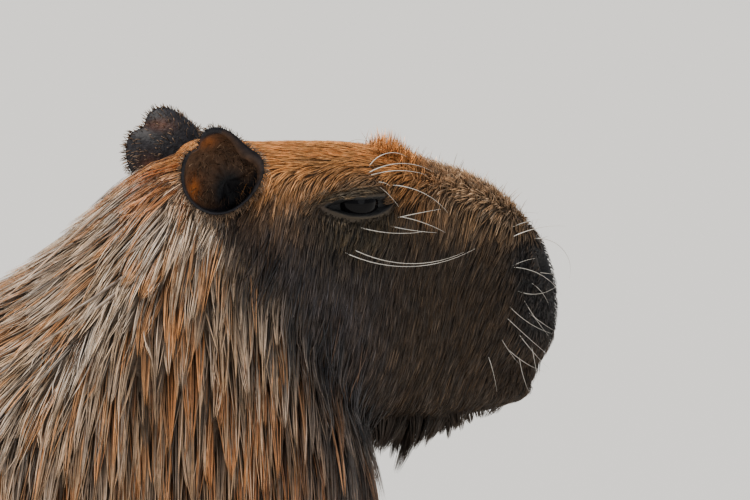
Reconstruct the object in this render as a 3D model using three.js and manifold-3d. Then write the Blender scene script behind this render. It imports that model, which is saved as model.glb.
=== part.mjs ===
// A life-size adult capybara, standing still with its head held level, as a museum model.
// Millimetres, +X towards the nose, +Y to the animal's left, +Z up.
// The origin is on the floor, below the middle of the animal's length and width.
import * as THREE from 'three';
import { mergeVertices } from 'three/addons/utils/BufferGeometryUtils.js';
import Module from 'manifold-3d';

const wasm = await Module();
wasm.setup();

// Driving dimensions of the whole animal.
const BODY_LENGTH = 1000;      // nose tip to rump, as it stands
const NOSE_X = BODY_LENGTH / 2;
const RUMP_X = 14 - BODY_LENGTH / 2;   // the tail's stub ends 14 further back, and its fur with it
const CROWN_HEIGHT = 684;      // top of the head
const WITHERS_HEIGHT = 559;
const BACK_HEIGHT = 567;
const BELLY_HEIGHT = 192;
const BARREL_HALF = 151;       // half the width of the barrel
const CHEST_X = 372;           // the front of the chest, below the jaw
const GAP = 0.35;              // clearance that touching pieces keep

// Coat colours and skins, read from sunlit and shaded fur.
const MATERIALS = {
  coat: { color: 0x8a5c38, roughness: 0.8 },
  face: { color: 0x5a4230, roughness: 0.82 },
  ear: { color: 0x4a332a, roughness: 0.7 },
  eye: { color: 0x0c0908, roughness: 0.08 },
  leg: { color: 0x5d442f, roughness: 0.82 },
  claw: { color: 0x2a2320, roughness: 0.45 },
};

// A smooth curve through a few [x, value] points that never overshoots them.
function curve(points) {
  const secant = points.slice(1).map(([x, v], i) => (v - points[i][1]) / (x - points[i][0]));
  const slope = points.map((_, i) => {
    if (i === 0) return secant[0];
    if (i === points.length - 1) return secant[i - 1];
    const [a, b] = [secant[i - 1], secant[i]];
    return a * b <= 0 ? 0 : (2 * a * b) / (a + b);
  });
  return (x) => {
    if (x <= points[0][0]) return points[0][1];
    const last = points.length - 1;
    if (x >= points[last][0]) return points[last][1];
    const i = points.findIndex(([px]) => px > x) - 1;
    const width = points[i + 1][0] - points[i][0];
    const t = (x - points[i][0]) / width;
    return points[i][1] * (1 + 2 * t) * (1 - t) ** 2 + slope[i] * width * t * (1 - t) ** 2
      + points[i + 1][1] * t * t * (3 - 2 * t) + slope[i + 1] * width * t * t * (t - 1);
  };
}

// A rounded end: 1 inside the body, falling to 0 at the very end, squarer for a higher power.
function roundEnd(x, end, length, power) {
  const t = THREE.MathUtils.clamp(1 - Math.abs(end - x) / length, 0, 1);
  return (1 - t ** power) ** (1 / power);
}

const signedPower = (v, power) => Math.sign(v) * Math.abs(v) ** power;
const bump = (x, z, [cx, cz, rx, rz, height]) =>
  height * Math.exp(-(((x - cx) / rx) ** 2) - ((z - cz) / rz) ** 2);

// The trunk: barrel, rump, chest and neck, as upright sections along X.
const backLine = curve([[RUMP_X, 530], [-400, 550], [-270, BACK_HEIGHT], [-170, BACK_HEIGHT + 1], [-70, 563],
  [0, WITHERS_HEIGHT], [50, 566], [105, 589], [164, 630], [228, 680], [252, 668], [300, 606], [340, 556], [CHEST_X, 512]]);
const bellyLine = curve([[RUMP_X, 318], [-420, 262], [-340, 214], [-240, 196], [-100, BELLY_HEIGHT], [0, 194],
  [100, 205], [180, 222], [250, 250], [320, 292], [CHEST_X, 310]]);
const widestLine = curve([[RUMP_X, 432], [-370, 388], [-100, 340], [50, 350], [120, 372],
  [180, 402], [240, 425], [CHEST_X, 432]]);
const trunkHalf = curve([[RUMP_X, 130], [-370, 134], [-250, 145], [-100, BARREL_HALF], [0, 148],
  [80, 137], [140, 124], [200, 103], [260, 92], [CHEST_X, 80]]);
const TRUNK_POWER = 2.25;
const BELLY_COAT = 0.3;        // the belly's coat, as a share of the back's
const RUMP_ROUND = 135;
const CHEST_ROUND = 75;
const TRUNK_SWELLS = [
  [235, 385, 85, 105, 20],     // shoulder and upper arm
  [-345, 330, 110, 125, 16],   // haunch
  [-190, 300, 60, 90, -8],     // hollow of the flank
  [60, 330, 60, 120, -5],      // behind the shoulder
];

// The head, from the nape to the front of the muzzle, without the lower jaw.
const crownLine = curve([[205, 640], [245, 688], [279, CROWN_HEIGHT + 1], [346, CROWN_HEIGHT - 1], [371, 679],
  [410, 666], [439, 656], [NOSE_X, 634]]);
const lipLine = curve([[205, 520], [260, 490], [300, 484], [375, 486], [400, 492], [420, 501],
  [440, 510], [NOSE_X, 515]]);
const cheekLine = curve([[205, 585], [300, 562], [380, 560], [NOSE_X, 568]]);
const headHalf = curve([[205, 60], [260, 67], [300, 66], [340, 61], [380, 52], [420, 45], [450, 42], [NOSE_X, 40]]);
const HEAD_POWER = 2.7;
const NAPE_X = 205;
const NAPE_ROUND = 40;
const MUZZLE_ROUND = 71;

// The section of the trunk or the head at x, drawn in by inset millimetres.
function trunkSection(x, inset = 0) {
  const end = Math.min(roundEnd(x, RUMP_X + inset, RUMP_ROUND, 2.3), roundEnd(x, CHEST_X - inset, CHEST_ROUND, 2.4));
  const mid = widestLine(x);
  return {
    mid, power: TRUNK_POWER,
    up: (backLine(x) - mid - inset) * end,
    down: (mid - bellyLine(x) - inset * BELLY_COAT) * end,
    half: (trunkHalf(x) - inset) * end,
    swell: (z) => end * TRUNK_SWELLS.reduce((sum, s) => sum + bump(x, z, s), 0),
  };
}

function headSection(x, inset = 0) {
  const back = roundEnd(x, NAPE_X + inset, NAPE_ROUND, 2);
  const mid = cheekLine(x);
  return {
    mid, power: HEAD_POWER,
    up: (crownLine(x) - mid - inset) * Math.min(back, roundEnd(x, NOSE_X - inset, MUZZLE_ROUND, 2.5)),
    down: (mid - lipLine(x) - inset) * Math.min(back, roundEnd(x, NOSE_X - inset, MUZZLE_ROUND, 3.3)),
    half: (headHalf(x) - inset) * Math.min(back, roundEnd(x, NOSE_X - inset, MUZZLE_ROUND, 3)),
    swell: () => 0,
  };
}

// The lower jaw: a narrower loft, set back below the lips.
const JAW_FRONT_X = 489;
const JAW_BACK_X = 366;
const jawBottom = curve([[JAW_BACK_X, 491], [400, 490], [446, 495], [JAW_FRONT_X, 505]]);
const jawHalf = curve([[JAW_BACK_X, 46], [420, 38], [460, 32], [JAW_FRONT_X, 27]]);
const JAW_TOP = 528;
const LIP_GAP = 2.2;           // width of the line of the mouth
const MOUTH_CORNER_X = 432;
function jawSection(x, grow) {
  const end = Math.min(roundEnd(x, JAW_FRONT_X + grow, 26, 2.6), roundEnd(x, JAW_BACK_X - grow, 20, 2));
  const mid = 512;
  return {
    mid, power: 2.5,
    up: (JAW_TOP - mid + grow) * end,
    down: (mid - jawBottom(x) + grow) * end,
    half: (jawHalf(x) + grow) * end,
    swell: () => 0,
  };
}

// One ring of points round a section.
function sectionRing(x, s, count) {
  const points = [];
  for (let i = 0; i < count; i++) {
    const angle = (i / count) * 2 * Math.PI;
    const z = s.mid + (Math.sin(angle) >= 0 ? s.up : s.down) * signedPower(Math.sin(angle), 2 / s.power);
    const side = signedPower(Math.cos(angle), 2 / s.power);
    points.push(new THREE.Vector3(x, side * (s.half + s.swell(z)), z));
  }
  return points;
}

// A closed body from rings of equal count, with a point at each end.
function loft(rings, startPoint, endPoint) {
  const count = rings[0].length;
  const positions = [startPoint, ...rings.flat(), endPoint].flatMap((p) => [p.x, p.y, p.z]);
  const index = [];
  const at = (ring, i) => 1 + ring * count + (i % count);
  const end = 1 + rings.length * count;
  for (let i = 0; i < count; i++) {
    index.push(0, at(0, i + 1), at(0, i));
    index.push(end, at(rings.length - 1, i), at(rings.length - 1, i + 1));
    for (let r = 0; r < rings.length - 1; r++) {
      index.push(at(r, i), at(r, i + 1), at(r + 1, i));
      index.push(at(r, i + 1), at(r + 1, i + 1), at(r + 1, i));
    }
  }
  const geometry = new THREE.BufferGeometry();
  geometry.setAttribute('position', new THREE.Float32BufferAttribute(positions, 3));
  geometry.setIndex(index);
  return geometry;
}

// A closed geometry as a solid, turned the right way out.
function solid(geometry) {
  const bare = geometry.clone();
  bare.deleteAttribute('normal');
  bare.deleteAttribute('uv');
  const merged = mergeVertices(bare, 1e-3);
  const make = (triVerts) => new wasm.Manifold(new wasm.Mesh({
    numProp: 3, vertProperties: merged.attributes.position.array, triVerts,
  }));
  const triVerts = new Uint32Array(merged.index.array);
  const made = make(triVerts);
  if (made.volume() > 0) return made;
  for (let i = 0; i < triVerts.length; i += 3) [triVerts[i + 1], triVerts[i + 2]] = [triVerts[i + 2], triVerts[i + 1]];
  return make(triVerts);
}

const largest = (made) => made.decompose().sort((a, b) => b.volume() - a.volume())[0];
const ball = (x, y, z, rx, ry, rz, around = 16, high = 10) =>
  solid(new THREE.SphereGeometry(1, around, high).scale(rx, ry, rz).translate(x, y, z));

// A half space as a big block whose face passes through a point, on the side the normal points to.
function halfSpace(point, normal) {
  const SIZE = 3000;
  const turn = new THREE.Quaternion().setFromUnitVectors(new THREE.Vector3(0, 0, 1), normal.clone().normalize());
  return solid(new THREE.BoxGeometry(SIZE, SIZE, SIZE).translate(0, 0, SIZE / 2)
    .applyQuaternion(turn).translate(point.x, point.y, point.z));
}

// Stations along X, closer together near the two rounded ends.
function stations(from, fromRound, to, toRound, step, endSteps) {
  const xs = [];
  for (let i = 1; i < endSteps; i++) xs.push(from + fromRound * (1 - Math.cos((i / endSteps) * Math.PI / 2)));
  const [a, b] = [from + fromRound, to - toRound];
  const count = Math.round((b - a) / step);
  for (let i = 0; i <= count; i++) xs.push(a + ((b - a) * i) / count);
  for (let i = endSteps - 1; i > 0; i--) xs.push(to - toRound * (1 - Math.cos((i / endSteps) * Math.PI / 2)));
  return xs;
}

function sectionLoft(section, xs, from, to, count) {
  const rings = xs.map((x) => sectionRing(x, section(x), count));
  return solid(loft(rings, new THREE.Vector3(from, 0, section(from).mid), new THREE.Vector3(to, 0, section(to).mid)));
}

const trunk = (inset) => sectionLoft((x) => trunkSection(x, inset),
  stations(RUMP_X + inset, RUMP_ROUND, CHEST_X - inset, CHEST_ROUND, 38, 5), RUMP_X + inset, CHEST_X - inset, 26);
const skull = (inset) => sectionLoft((x) => headSection(x, inset),
  stations(NAPE_X + inset, NAPE_ROUND, NOSE_X - inset, MUZZLE_ROUND, 20, 6), NAPE_X + inset, NOSE_X - inset, 28);
const jaw = (grow) => sectionLoft((x) => jawSection(x, grow),
  stations(JAW_BACK_X - grow, 20, JAW_FRONT_X + grow, 26, 20, 4), JAW_BACK_X - grow, JAW_FRONT_X + grow, 16);

// A limb: oval rings square to a smooth path through [x, y, z, front half, side half] points.
function limb(points, ringCount, count, power = 2) {
  const path = new THREE.CatmullRomCurve3(points.map((p) => new THREE.Vector3(p[0], p[1], p[2])));
  const lengths = points.map((_, i) => i / (points.length - 1));
  const front = curve(points.map((p, i) => [lengths[i], p[3]]));
  const side = curve(points.map((p, i) => [lengths[i], p[4]]));
  const rings = [];
  for (let r = 0; r <= ringCount; r++) {
    const t = r / ringCount;
    const along = path.getTangent(t);
    const across = new THREE.Vector3(0, 1, 0).addScaledVector(along, -along.y).normalize();
    const forward = new THREE.Vector3().crossVectors(across, along);
    rings.push(Array.from({ length: count }, (_, i) => {
      const angle = (i / count) * 2 * Math.PI;
      return path.getPoint(t)
        .addScaledVector(across, side(t) * signedPower(Math.cos(angle), 2 / power))
        .addScaledVector(forward, front(t) * signedPower(Math.sin(angle), 2 / power));
    }));
  }
  const lead = (t, way) => path.getPoint(t).addScaledVector(path.getTangent(t), way * 0.45 * front(t));
  return solid(loft(rings, lead(0, -1), lead(1, 1)));
}

// Legs, by the stance of each: how far the foot stands forward of its neutral place.
const LEGS = {
  right_fore: { side: -1, step: 20 },
  left_fore: { side: 1, step: -14 },
  right_hind: { side: -1, step: -26 },
  left_hind: { side: 1, step: 22 },
};
const FORE_Y = 88;
const HIND_Y = 104;
const foreLegPoints = [[235, 84, 350, 72, 40], [234, 89, 270, 53, 38], [243, FORE_Y, 190, 33, 28],
  [249, FORE_Y, 120, 25, 23], [252, FORE_Y, 72, 23, 22], [260, FORE_Y, 36, 25, 28]];
const hindLegPoints = [[-350, 92, 372, 116, 47], [-352, 100, 292, 104, 48], [-376, HIND_Y, 216, 69, 39],
  [-418, HIND_Y, 152, 32, 25], [-414, HIND_Y, 100, 25, 23], [-385, HIND_Y, 40, 25, 29]];
const KNEE_HEIGHT = 300;
function standing(points, { side, step }) {
  return points.map(([x, y, z, ...rest]) => [x + step * Math.max(0, 1 - z / KNEE_HEIGHT), y * side, z, ...rest]);
}

function legSolid(fore, leg, grow) {
  const points = standing(fore ? foreLegPoints : hindLegPoints, leg);
  return limb(points.map(([x, y, z, front, side]) => [x, y, z, front + grow, side + grow]), 10, 13);
}

// A foot: a low pad and a fan of toes with webs between them, cut flat at the floor.
const FORE_FOOT = { x: 262, y: FORE_Y, toes: 4, toeLength: 62, spread: 15, turn: 0.13, padLength: 30, padHalf: 29 };
const HIND_FOOT = { x: -383, y: HIND_Y, toes: 3, toeLength: 84, spread: 17, turn: 0.12, padLength: 34, padHalf: 29 };
const TOE_RADIUS = 10.5;
const CLAW_LENGTH = 24;
function toeLine(foot, { side, step }, i) {
  const offset = i - (foot.toes - 1) / 2;
  const angle = offset * foot.turn;
  const short = 1 - 0.07 * offset * offset;
  const start = new THREE.Vector3(foot.x + step, side * (foot.y + offset * foot.spread), 20);
  const tip = start.clone().add(new THREE.Vector3(Math.cos(angle), side * Math.sin(angle), 0)
    .multiplyScalar(foot.toeLength * short)).setZ(9.5);
  return { start, tip };
}

function footSolid(foot, leg) {
  const centreX = foot.x + leg.step;
  let made = ball(centreX + 6, leg.side * foot.y, 15, foot.padLength, foot.padHalf, 21, 14, 7);
  for (let i = 0; i < foot.toes; i++) {
    const { start, tip } = toeLine(foot, leg, i);
    const knuckle = start.clone().lerp(tip, 0.55).setZ(16);
    made = made.add(limb([[start.x, start.y, start.z, TOE_RADIUS * 1.3, TOE_RADIUS * 1.1],
      [knuckle.x, knuckle.y, knuckle.z, TOE_RADIUS * 1.15, TOE_RADIUS],
      [tip.x, tip.y, tip.z, TOE_RADIUS * 0.85, TOE_RADIUS * 0.8]], 3, 8));
    if (i > 0) made = made.add(web(foot, leg, i));
  }
  return made;
}

// The skin between two toes, a thin wedge low on the foot.
function web(foot, leg, i) {
  const [a, b] = [toeLine(foot, leg, i - 1), toeLine(foot, leg, i)];
  const reach = 0.62;
  const corners = [a.start, a.start.clone().lerp(a.tip, reach), b.start.clone().lerp(b.tip, reach), b.start];
  const ring = (z) => corners.map((p) => new THREE.Vector3(p.x, p.y, z));
  const centre = (z) => corners.reduce((sum, p) => sum.add(p), new THREE.Vector3()).divideScalar(4).setZ(z);
  return solid(loft([ring(4), ring(13)], centre(4), centre(13)));
}

function clawSolid(foot, leg, i) {
  const { start, tip } = toeLine(foot, leg, i);
  const way = tip.clone().sub(start).setZ(0).normalize();
  const point = (along, z) => tip.clone().addScaledVector(way, along).setZ(z);
  const [root, middle, end] = [point(-7, 11.5), point(CLAW_LENGTH * 0.35, 9.5), point(CLAW_LENGTH * 0.72, 5)];
  return limb([[root.x, root.y, root.z, 6.5, 6], [middle.x, middle.y, middle.z, 5.2, 5.6],
    [end.x, end.y, end.z, 2, 3.4]], 2, 6);
}

// An ear: a cup that faces sideways, its front rim rolled over and its rear rim notched.
const EAR = { x: 245, y: 66, z: 671, long: 28, high: 27, depth: 24, wall: 3.2, canalX: 254, canalZ: 663 };
const EAR_AROUND = 20;
const EAR_OUTLINE = [             // where round the rim, how wide, and how far in or out as a share
  [2.36, 0.2, -0.15],          // notch between the two lobes
  [0.85, 0.45, -0.2],          // straight upper front margin
  [1.82, 0.3, 0.09],           // peak
];
function earRim(angle) {
  const share = EAR_OUTLINE.reduce((sum, [at, width, by]) => sum + by * Math.exp(-(((angle - at) / width) ** 2)), 1);
  return {
    x: EAR.long * Math.cos(angle) * share,
    z: EAR.high * Math.sin(angle) * share,
    y: 3.5 * Math.cos(angle * 2) + 3 * Math.sin(angle) - (Math.sin(angle) < 0 ? 5 * Math.sin(angle) ** 2 : 0),
  };
}

function earRing(side, t, thick) {
  const open = Math.cos((t * Math.PI) / 2);
  const deep = Math.sin((t * Math.PI) / 2);
  return Array.from({ length: EAR_AROUND }, (_, i) => {
    const angle = (i / EAR_AROUND) * 2 * Math.PI;
    const rim = earRim(angle);
    const reach = open * (1 + thick / EAR.long);
    return new THREE.Vector3(
      EAR.x + (EAR.canalX - EAR.x) * deep + rim.x * reach,
      side * (EAR.y + rim.y * open - (EAR.depth + thick) * deep),
      EAR.z + (EAR.canalZ - EAR.z) * deep + rim.z * reach,
    );
  });
}

function earCup(side) {
  const steps = [0.82, 0.58, 0.34, 0.12, 0];
  const outer = steps.map((t) => earRing(side, t, EAR.wall));
  const inner = [0.02, 0.2, 0.45, 0.72].map((t) => earRing(side, t, 0));
  const pole = (thick) => new THREE.Vector3(EAR.canalX, side * (EAR.y - EAR.depth - thick), EAR.canalZ);
  return solid(loft([...outer, ...inner], pole(EAR.wall), pole(0)));
}

function earPlug(side) {
  const wall = EAR.wall + GAP;
  const outer = [0.82, 0.58, 0.34, 0.12, 0].map((t) => earRing(side, t, wall));
  return solid(loft(outer, new THREE.Vector3(EAR.canalX, side * (EAR.y - EAR.depth - wall), EAR.canalZ),
    new THREE.Vector3(EAR.x, side * (EAR.y + 30), EAR.z)));
}

// An eye with its lids: the ball sits in a socket, behind an almond slit in a raised lid.
const EYE = { x: 346, y: 39.5, z: 644.5, radius: 15, slitLong: 23, slitHigh: 6.4, lid: 3 };
const eyeBall = (side, grow = 0) => ball(EYE.x, side * EYE.y, EYE.z,
  EYE.radius + grow, EYE.radius + grow, EYE.radius + grow, 14, 9);
const lidSwell = (side) => ball(EYE.x, side * EYE.y, EYE.z,
  EYE.radius + EYE.lid + 5, EYE.radius + EYE.lid, EYE.radius + EYE.lid - 1, 16, 9);
function eyeSlit(side) {
  const shape = new THREE.Shape();
  shape.moveTo(-EYE.slitLong, 0.5);
  shape.quadraticCurveTo(0, EYE.slitHigh * 1.7, EYE.slitLong, 0);
  shape.quadraticCurveTo(0, -EYE.slitHigh * 1.9, -EYE.slitLong, 0.5);
  const cut = new THREE.ExtrudeGeometry(shape, { depth: 30, bevelEnabled: false, curveSegments: 6 });
  cut.rotateX(Math.PI / 2).scale(1, side > 0 ? -1 : 1, 1);
  return solid(cut.translate(EYE.x, side * (EYE.y + 2), EYE.z - 1));
}

// A nostril: a slanted slit sunk in the side of the nose front.
const NOSTRIL = { x: 497, y: 22, z: 588, high: 11, wide: 4, deep: 12 };
function nostril(side) {
  return solid(new THREE.SphereGeometry(1, 10, 6).scale(NOSTRIL.deep, NOSTRIL.wide, NOSTRIL.high)
    .rotateZ(side * 0.7).rotateX(side * 0.25).translate(NOSTRIL.x, side * NOSTRIL.y, NOSTRIL.z));
}

// The tail is only a stub.
const TAIL = { z: 452, radius: 13, long: 14 };

// The coat of the trunk: flat locks, rooted in rows, that lie along the hair and lift towards their tips.
const COAT = {
  depth: 9,                    // from the flesh below to the outline that the tips reach
  length: 118, half: 25, thick: 3.4,
  row: 76,                     // between rows, and between the roots in a row
  first: RUMP_X + 34, last: 318,
  root: 8,                     // how far a root is sunk
  proud: 2.5,                  // how far the tips pass the outline
};
const SHARES = [[0, 0.55], [0.3, 1], [0.62, 0.92], [0.85, 0.55]];
const CHIN_TUFTS = [[396, 24, 24], [417, 19, 29], [439, -17, 22], [398, -22, 26], [420, -19, 31],
  [441, 15, 21], [408, 2, 27], [430, 0, 24]];
const TUFT = { half: 12, thick: 6, root: 12 };

// A repeatable random draw between 0 and 1.
let seed = 20240611;
function draw() {
  seed = (seed * 1664525 + 1013904223) % 4294967296;
  return seed / 4294967296;
}
const vary = (value, share) => value * (1 + share * (2 * draw() - 1));

function trunkPoint(x, angle) {
  const s = trunkSection(x, COAT.depth);
  const z = s.mid + (Math.sin(angle) >= 0 ? s.up : s.down) * signedPower(Math.sin(angle), 2 / s.power);
  return new THREE.Vector3(x, signedPower(Math.cos(angle), 2 / s.power) * (s.half + s.swell(z)), z);
}

// The lie of the coat: back along the spine, hanging on the neck, shoulder, thigh and rump.
const hang = curve([[RUMP_X, 1.6], [-330, 1.1], [-150, 0.55], [0, 0.6], [110, 1.1], [200, 2], [330, 4]]);
function lie(x, angle) {
  const STEP = 0.02;
  const along = trunkPoint(x + 1, angle).sub(trunkPoint(x - 1, angle)).divideScalar(2);
  const round = trunkPoint(x, angle + STEP).sub(trunkPoint(x, angle - STEP)).divideScalar(2 * STEP);
  const normal = new THREE.Vector3().crossVectors(along, round).normalize();
  if (normal.dot(trunkPoint(x, angle).sub(new THREE.Vector3(x, 0, widestLine(x)))) < 0) normal.negate();
  const flow = new THREE.Vector3(-1, 0, -hang(x));
  flow.addScaledVector(normal, -flow.dot(normal)).normalize();
  const [aa, ab, bb] = [along.dot(along), along.dot(round), round.dot(round)];
  const [fa, fb] = [flow.dot(along), flow.dot(round)];
  const area = aa * bb - ab * ab;
  return { normal, flow, dx: (fa * bb - fb * ab) / area, da: (fb * aa - fa * ab) / area };
}

// One lock as rings of four corners from a buried root to a free tip.
function lockSolid(x0, angle0, length, half, lift) {
  let [x, angle, gone] = [x0, angle0, 0];
  const rings = [];
  const advance = (share) => {
    const STEPS = 4;
    for (let i = 0; i < STEPS; i++) {
      const step = ((share - gone) * length) / STEPS;
      const { dx, da } = lie(x, angle);
      x = THREE.MathUtils.clamp(x + dx * step, RUMP_X + COAT.depth + 6, CHEST_X);
      angle += THREE.MathUtils.clamp(da * step, -0.2, 0.2);
    }
    gone = share;
    return { point: trunkPoint(x, angle), ...lie(x, angle) };
  };
  for (const [share, width] of SHARES) {
    const { point, normal, flow } = advance(share);
    const across = new THREE.Vector3().crossVectors(flow, normal);
    const thick = COAT.thick * (0.6 + 0.4 * width);
    const centre = point.addScaledVector(normal, share === 0 ? -COAT.root : lift * share - thick * 0.4);
    rings.push([[1, 0], [0, 1], [-1, 0], [0, -1]].map(([side, up]) =>
      centre.clone().addScaledVector(across, side * half * width).addScaledVector(normal, up * thick)));
  }
  const tip = advance(1);
  const root = rings[0].reduce((sum, p) => sum.add(p), new THREE.Vector3()).divideScalar(4);
  return solid(loft(rings, root, tip.point.addScaledVector(tip.normal, lift - COAT.thick * 0.5)));
}

// Angles round the section at x, spaced evenly along its skin from the belly's edge up and over.
function evenAngles(x, spacing, offset) {
  const [FINE, LOW] = [180, -0.62];
  const angles = [];
  let since = spacing * offset;
  let before = trunkPoint(x, LOW);
  for (let i = 1; i <= FINE; i++) {
    const angle = LOW + ((Math.PI - 2 * LOW) * i) / FINE;
    const here = trunkPoint(x, angle);
    since += here.distanceTo(before);
    before = here;
    if (since >= spacing) {
      since -= spacing;
      angles.push(angle);
    }
  }
  return angles;
}

function coatLocks() {
  const rows = Math.round((COAT.last - COAT.first) / COAT.row);
  const locks = [];
  for (let r = 0; r <= rows; r++) {
    const rowX = COAT.first + ((COAT.last - COAT.first) * r) / rows;
    for (const angle of evenAngles(rowX, COAT.row, 0.25 + 0.5 * (r % 2))) {
      const x = rowX + COAT.row * 0.3 * (draw() - 0.5);
      locks.push(lockSolid(x, angle, vary(COAT.length, 0.16), vary(COAT.half, 0.16),
        COAT.depth + vary(COAT.proud, 0.8)));
    }
  }
  return wasm.Manifold.union(locks);
}

// The wet tufts under the chin: pointed, hanging down and a little back.
function chinTuft([x, y, long]) {
  const top = jawBottom(x) + TUFT.root;
  const rings = SHARES.map(([share, width]) => [[1, 0], [0, 1], [-1, 0], [0, -1]].map(([side, up]) =>
    new THREE.Vector3(x - 9 * share + side * TUFT.half * width, y * (1 - 0.2 * share) + up * TUFT.thick * width,
      top - (long + TUFT.root) * share)));
  return solid(loft(rings, new THREE.Vector3(x, y, top), new THREE.Vector3(x - 11, y * 0.78, top - long - TUFT.root)));
}

// Cutting planes: head from neck, neck from torso, torso from rump.
const HEAD_CUT = { point: new THREE.Vector3(204, 0, 690), normal: new THREE.Vector3(220, 0, 176) };
const NECK_CUT = { point: new THREE.Vector3(75, 0, 600), normal: new THREE.Vector3(265, 0, 310) };
const RUMP_CUT = { point: new THREE.Vector3(-190, 0, 400), normal: new THREE.Vector3(1, 0, 0.12) };
function ahead(cut) {
  return halfSpace(cut.point.clone().addScaledVector(cut.normal.clone().normalize(), GAP / 2), cut.normal);
}
function behind(cut) {
  return halfSpace(cut.point.clone().addScaledVector(cut.normal.clone().normalize(), -GAP / 2), cut.normal.clone().negate());
}

const floorCut = halfSpace(new THREE.Vector3(0, 0, 0), new THREE.Vector3(0, 0, -1));
const parts = [];
const place = (name, made, material) => parts.push({ name, made, material });

const mouthRoom = halfSpace(new THREE.Vector3(MOUTH_CORNER_X, 0, 500), new THREE.Vector3(1, 0, 0));

function buildHead() {
  let head = trunk(COAT.depth).add(skull(0)).intersect(ahead(HEAD_CUT));
  for (const side of [-1, 1]) {
    head = head.add(lidSwell(side));
    head = head.subtract(earPlug(side)).subtract(eyeBall(side, GAP)).subtract(eyeSlit(side)).subtract(nostril(side));
    place(side < 0 ? 'ear_right' : 'ear_left', earCup(side), 'ear');
    place(side < 0 ? 'eye_right' : 'eye_left', eyeBall(side), 'eye');
  }
  const chin = wasm.Manifold.union([jaw(0), ...CHIN_TUFTS.map(chinTuft)]);
  place('head', largest(head.subtract(jaw(LIP_GAP).intersect(mouthRoom)).add(chin)), 'face');
}

// The rump's skin and locks where the tail leaves them, a little larger all round.
function rumpRoom(rump) {
  const shifts = [[GAP, 0, 0], [-GAP, 0, 0], [0, GAP, 0], [0, -GAP, 0], [0, 0, GAP], [0, 0, -GAP]];
  const near = rump.intersect(ball(RUMP_X, 0, TAIL.z, 60, 40, 40));
  return wasm.Manifold.union(shifts.map((shift) => near.translate(shift)));
}

function buildTrunk() {
  const legRoom = Object.entries(LEGS).map(([name, leg]) => legSolid(name.endsWith('fore'), leg, GAP));
  const locks = coatLocks().subtract(wasm.Manifold.union(legRoom));
  const room = [earPlug(-1), earPlug(1)];
  const whole = trunk(COAT.depth).add(skull(0).intersect(behind(HEAD_CUT))).add(locks)
    .subtract(wasm.Manifold.union(room));
  place('neck', largest(whole.intersect(behind(HEAD_CUT)).intersect(ahead(NECK_CUT))), 'coat');
  place('torso', largest(whole.intersect(behind(NECK_CUT)).intersect(ahead(RUMP_CUT))), 'coat');
  const rump = whole.intersect(behind(RUMP_CUT));
  place('rump', largest(rump), 'coat');
  const stub = limb([[RUMP_X + 40, 0, TAIL.z, TAIL.radius, TAIL.radius],
    [RUMP_X - TAIL.long / 2, 0, TAIL.z - 4, TAIL.radius, TAIL.radius],
    [RUMP_X - TAIL.long, 0, TAIL.z - 10, TAIL.radius * 0.6, TAIL.radius * 0.6]], 6, 12);
  place('tail', largest(stub.subtract(rumpRoom(rump))), 'coat');
}

function buildLegs() {
  const body = trunk(COAT.depth - GAP);
  for (const [name, leg] of Object.entries(LEGS)) {
    const [sideName, pair] = name.split('_');
    const fore = pair === 'fore';
    const foot = fore ? FORE_FOOT : HIND_FOOT;
    const upper = legSolid(fore, leg, 0);
    const ankle = { point: new THREE.Vector3(0, 0, 42), normal: new THREE.Vector3(0, 0, 1) };
    const whole = upper.add(footSolid(foot, leg)).subtract(floorCut);
    place(`${pair}leg_${sideName}`, largest(whole.intersect(ahead(ankle)).subtract(body)), 'leg');
    let footPart = whole.intersect(behind(ankle));
    for (let i = 0; i < foot.toes; i++) {
      const claw = clawSolid(foot, leg, i).subtract(floorCut);
      place(`${pair}claw_${sideName}_${i + 1}`, largest(claw.subtract(footPart)), 'claw');
    }
    place(`${pair}foot_${sideName}`, largest(footPart), 'leg');
  }
}

function toMesh({ name, made, material }) {
  const { vertProperties, triVerts } = made.getMesh();
  const geometry = new THREE.BufferGeometry();
  geometry.setAttribute('position', new THREE.BufferAttribute(new Float32Array(vertProperties), 3));
  geometry.setIndex(new THREE.BufferAttribute(new Uint32Array(triVerts), 1));
  geometry.computeVertexNormals();
  const mesh = new THREE.Mesh(geometry, new THREE.MeshStandardMaterial({ ...MATERIALS[material], metalness: 0 }));
  mesh.name = name;
  return mesh;
}

buildHead();
buildTrunk();
buildLegs();
const capybara = new THREE.Group();
parts.forEach((part) => capybara.add(toMesh(part)));
export default capybara;
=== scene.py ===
# %% [markdown]
# A life-size capybara, standing with its head held level, as a museum would show it.
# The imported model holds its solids: this script dresses them with one skin, a coat of
# wet, coarse hair, lidded eyes, cupped ears, whiskers and claws. Every size below is in
# millimetres, as in the model's own source, and becomes metres when a mesh is made.

# %% Load the frame
import math

import bmesh
import bpy
import numpy as np
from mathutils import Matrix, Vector
from mathutils.bvhtree import BVHTree
from mathutils.kdtree import KDTree


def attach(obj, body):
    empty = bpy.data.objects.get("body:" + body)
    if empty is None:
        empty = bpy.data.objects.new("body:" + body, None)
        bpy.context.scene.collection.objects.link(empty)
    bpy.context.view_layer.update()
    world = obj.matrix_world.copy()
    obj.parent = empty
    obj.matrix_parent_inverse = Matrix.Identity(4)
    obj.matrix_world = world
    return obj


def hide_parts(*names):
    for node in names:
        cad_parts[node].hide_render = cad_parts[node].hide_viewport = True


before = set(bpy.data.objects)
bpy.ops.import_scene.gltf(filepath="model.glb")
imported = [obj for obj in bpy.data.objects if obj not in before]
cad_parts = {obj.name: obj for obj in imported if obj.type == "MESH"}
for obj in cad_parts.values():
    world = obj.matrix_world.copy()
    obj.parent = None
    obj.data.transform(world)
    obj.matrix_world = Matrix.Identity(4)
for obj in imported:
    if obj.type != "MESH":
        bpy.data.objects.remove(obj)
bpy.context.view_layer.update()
MM = 0.001
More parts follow.
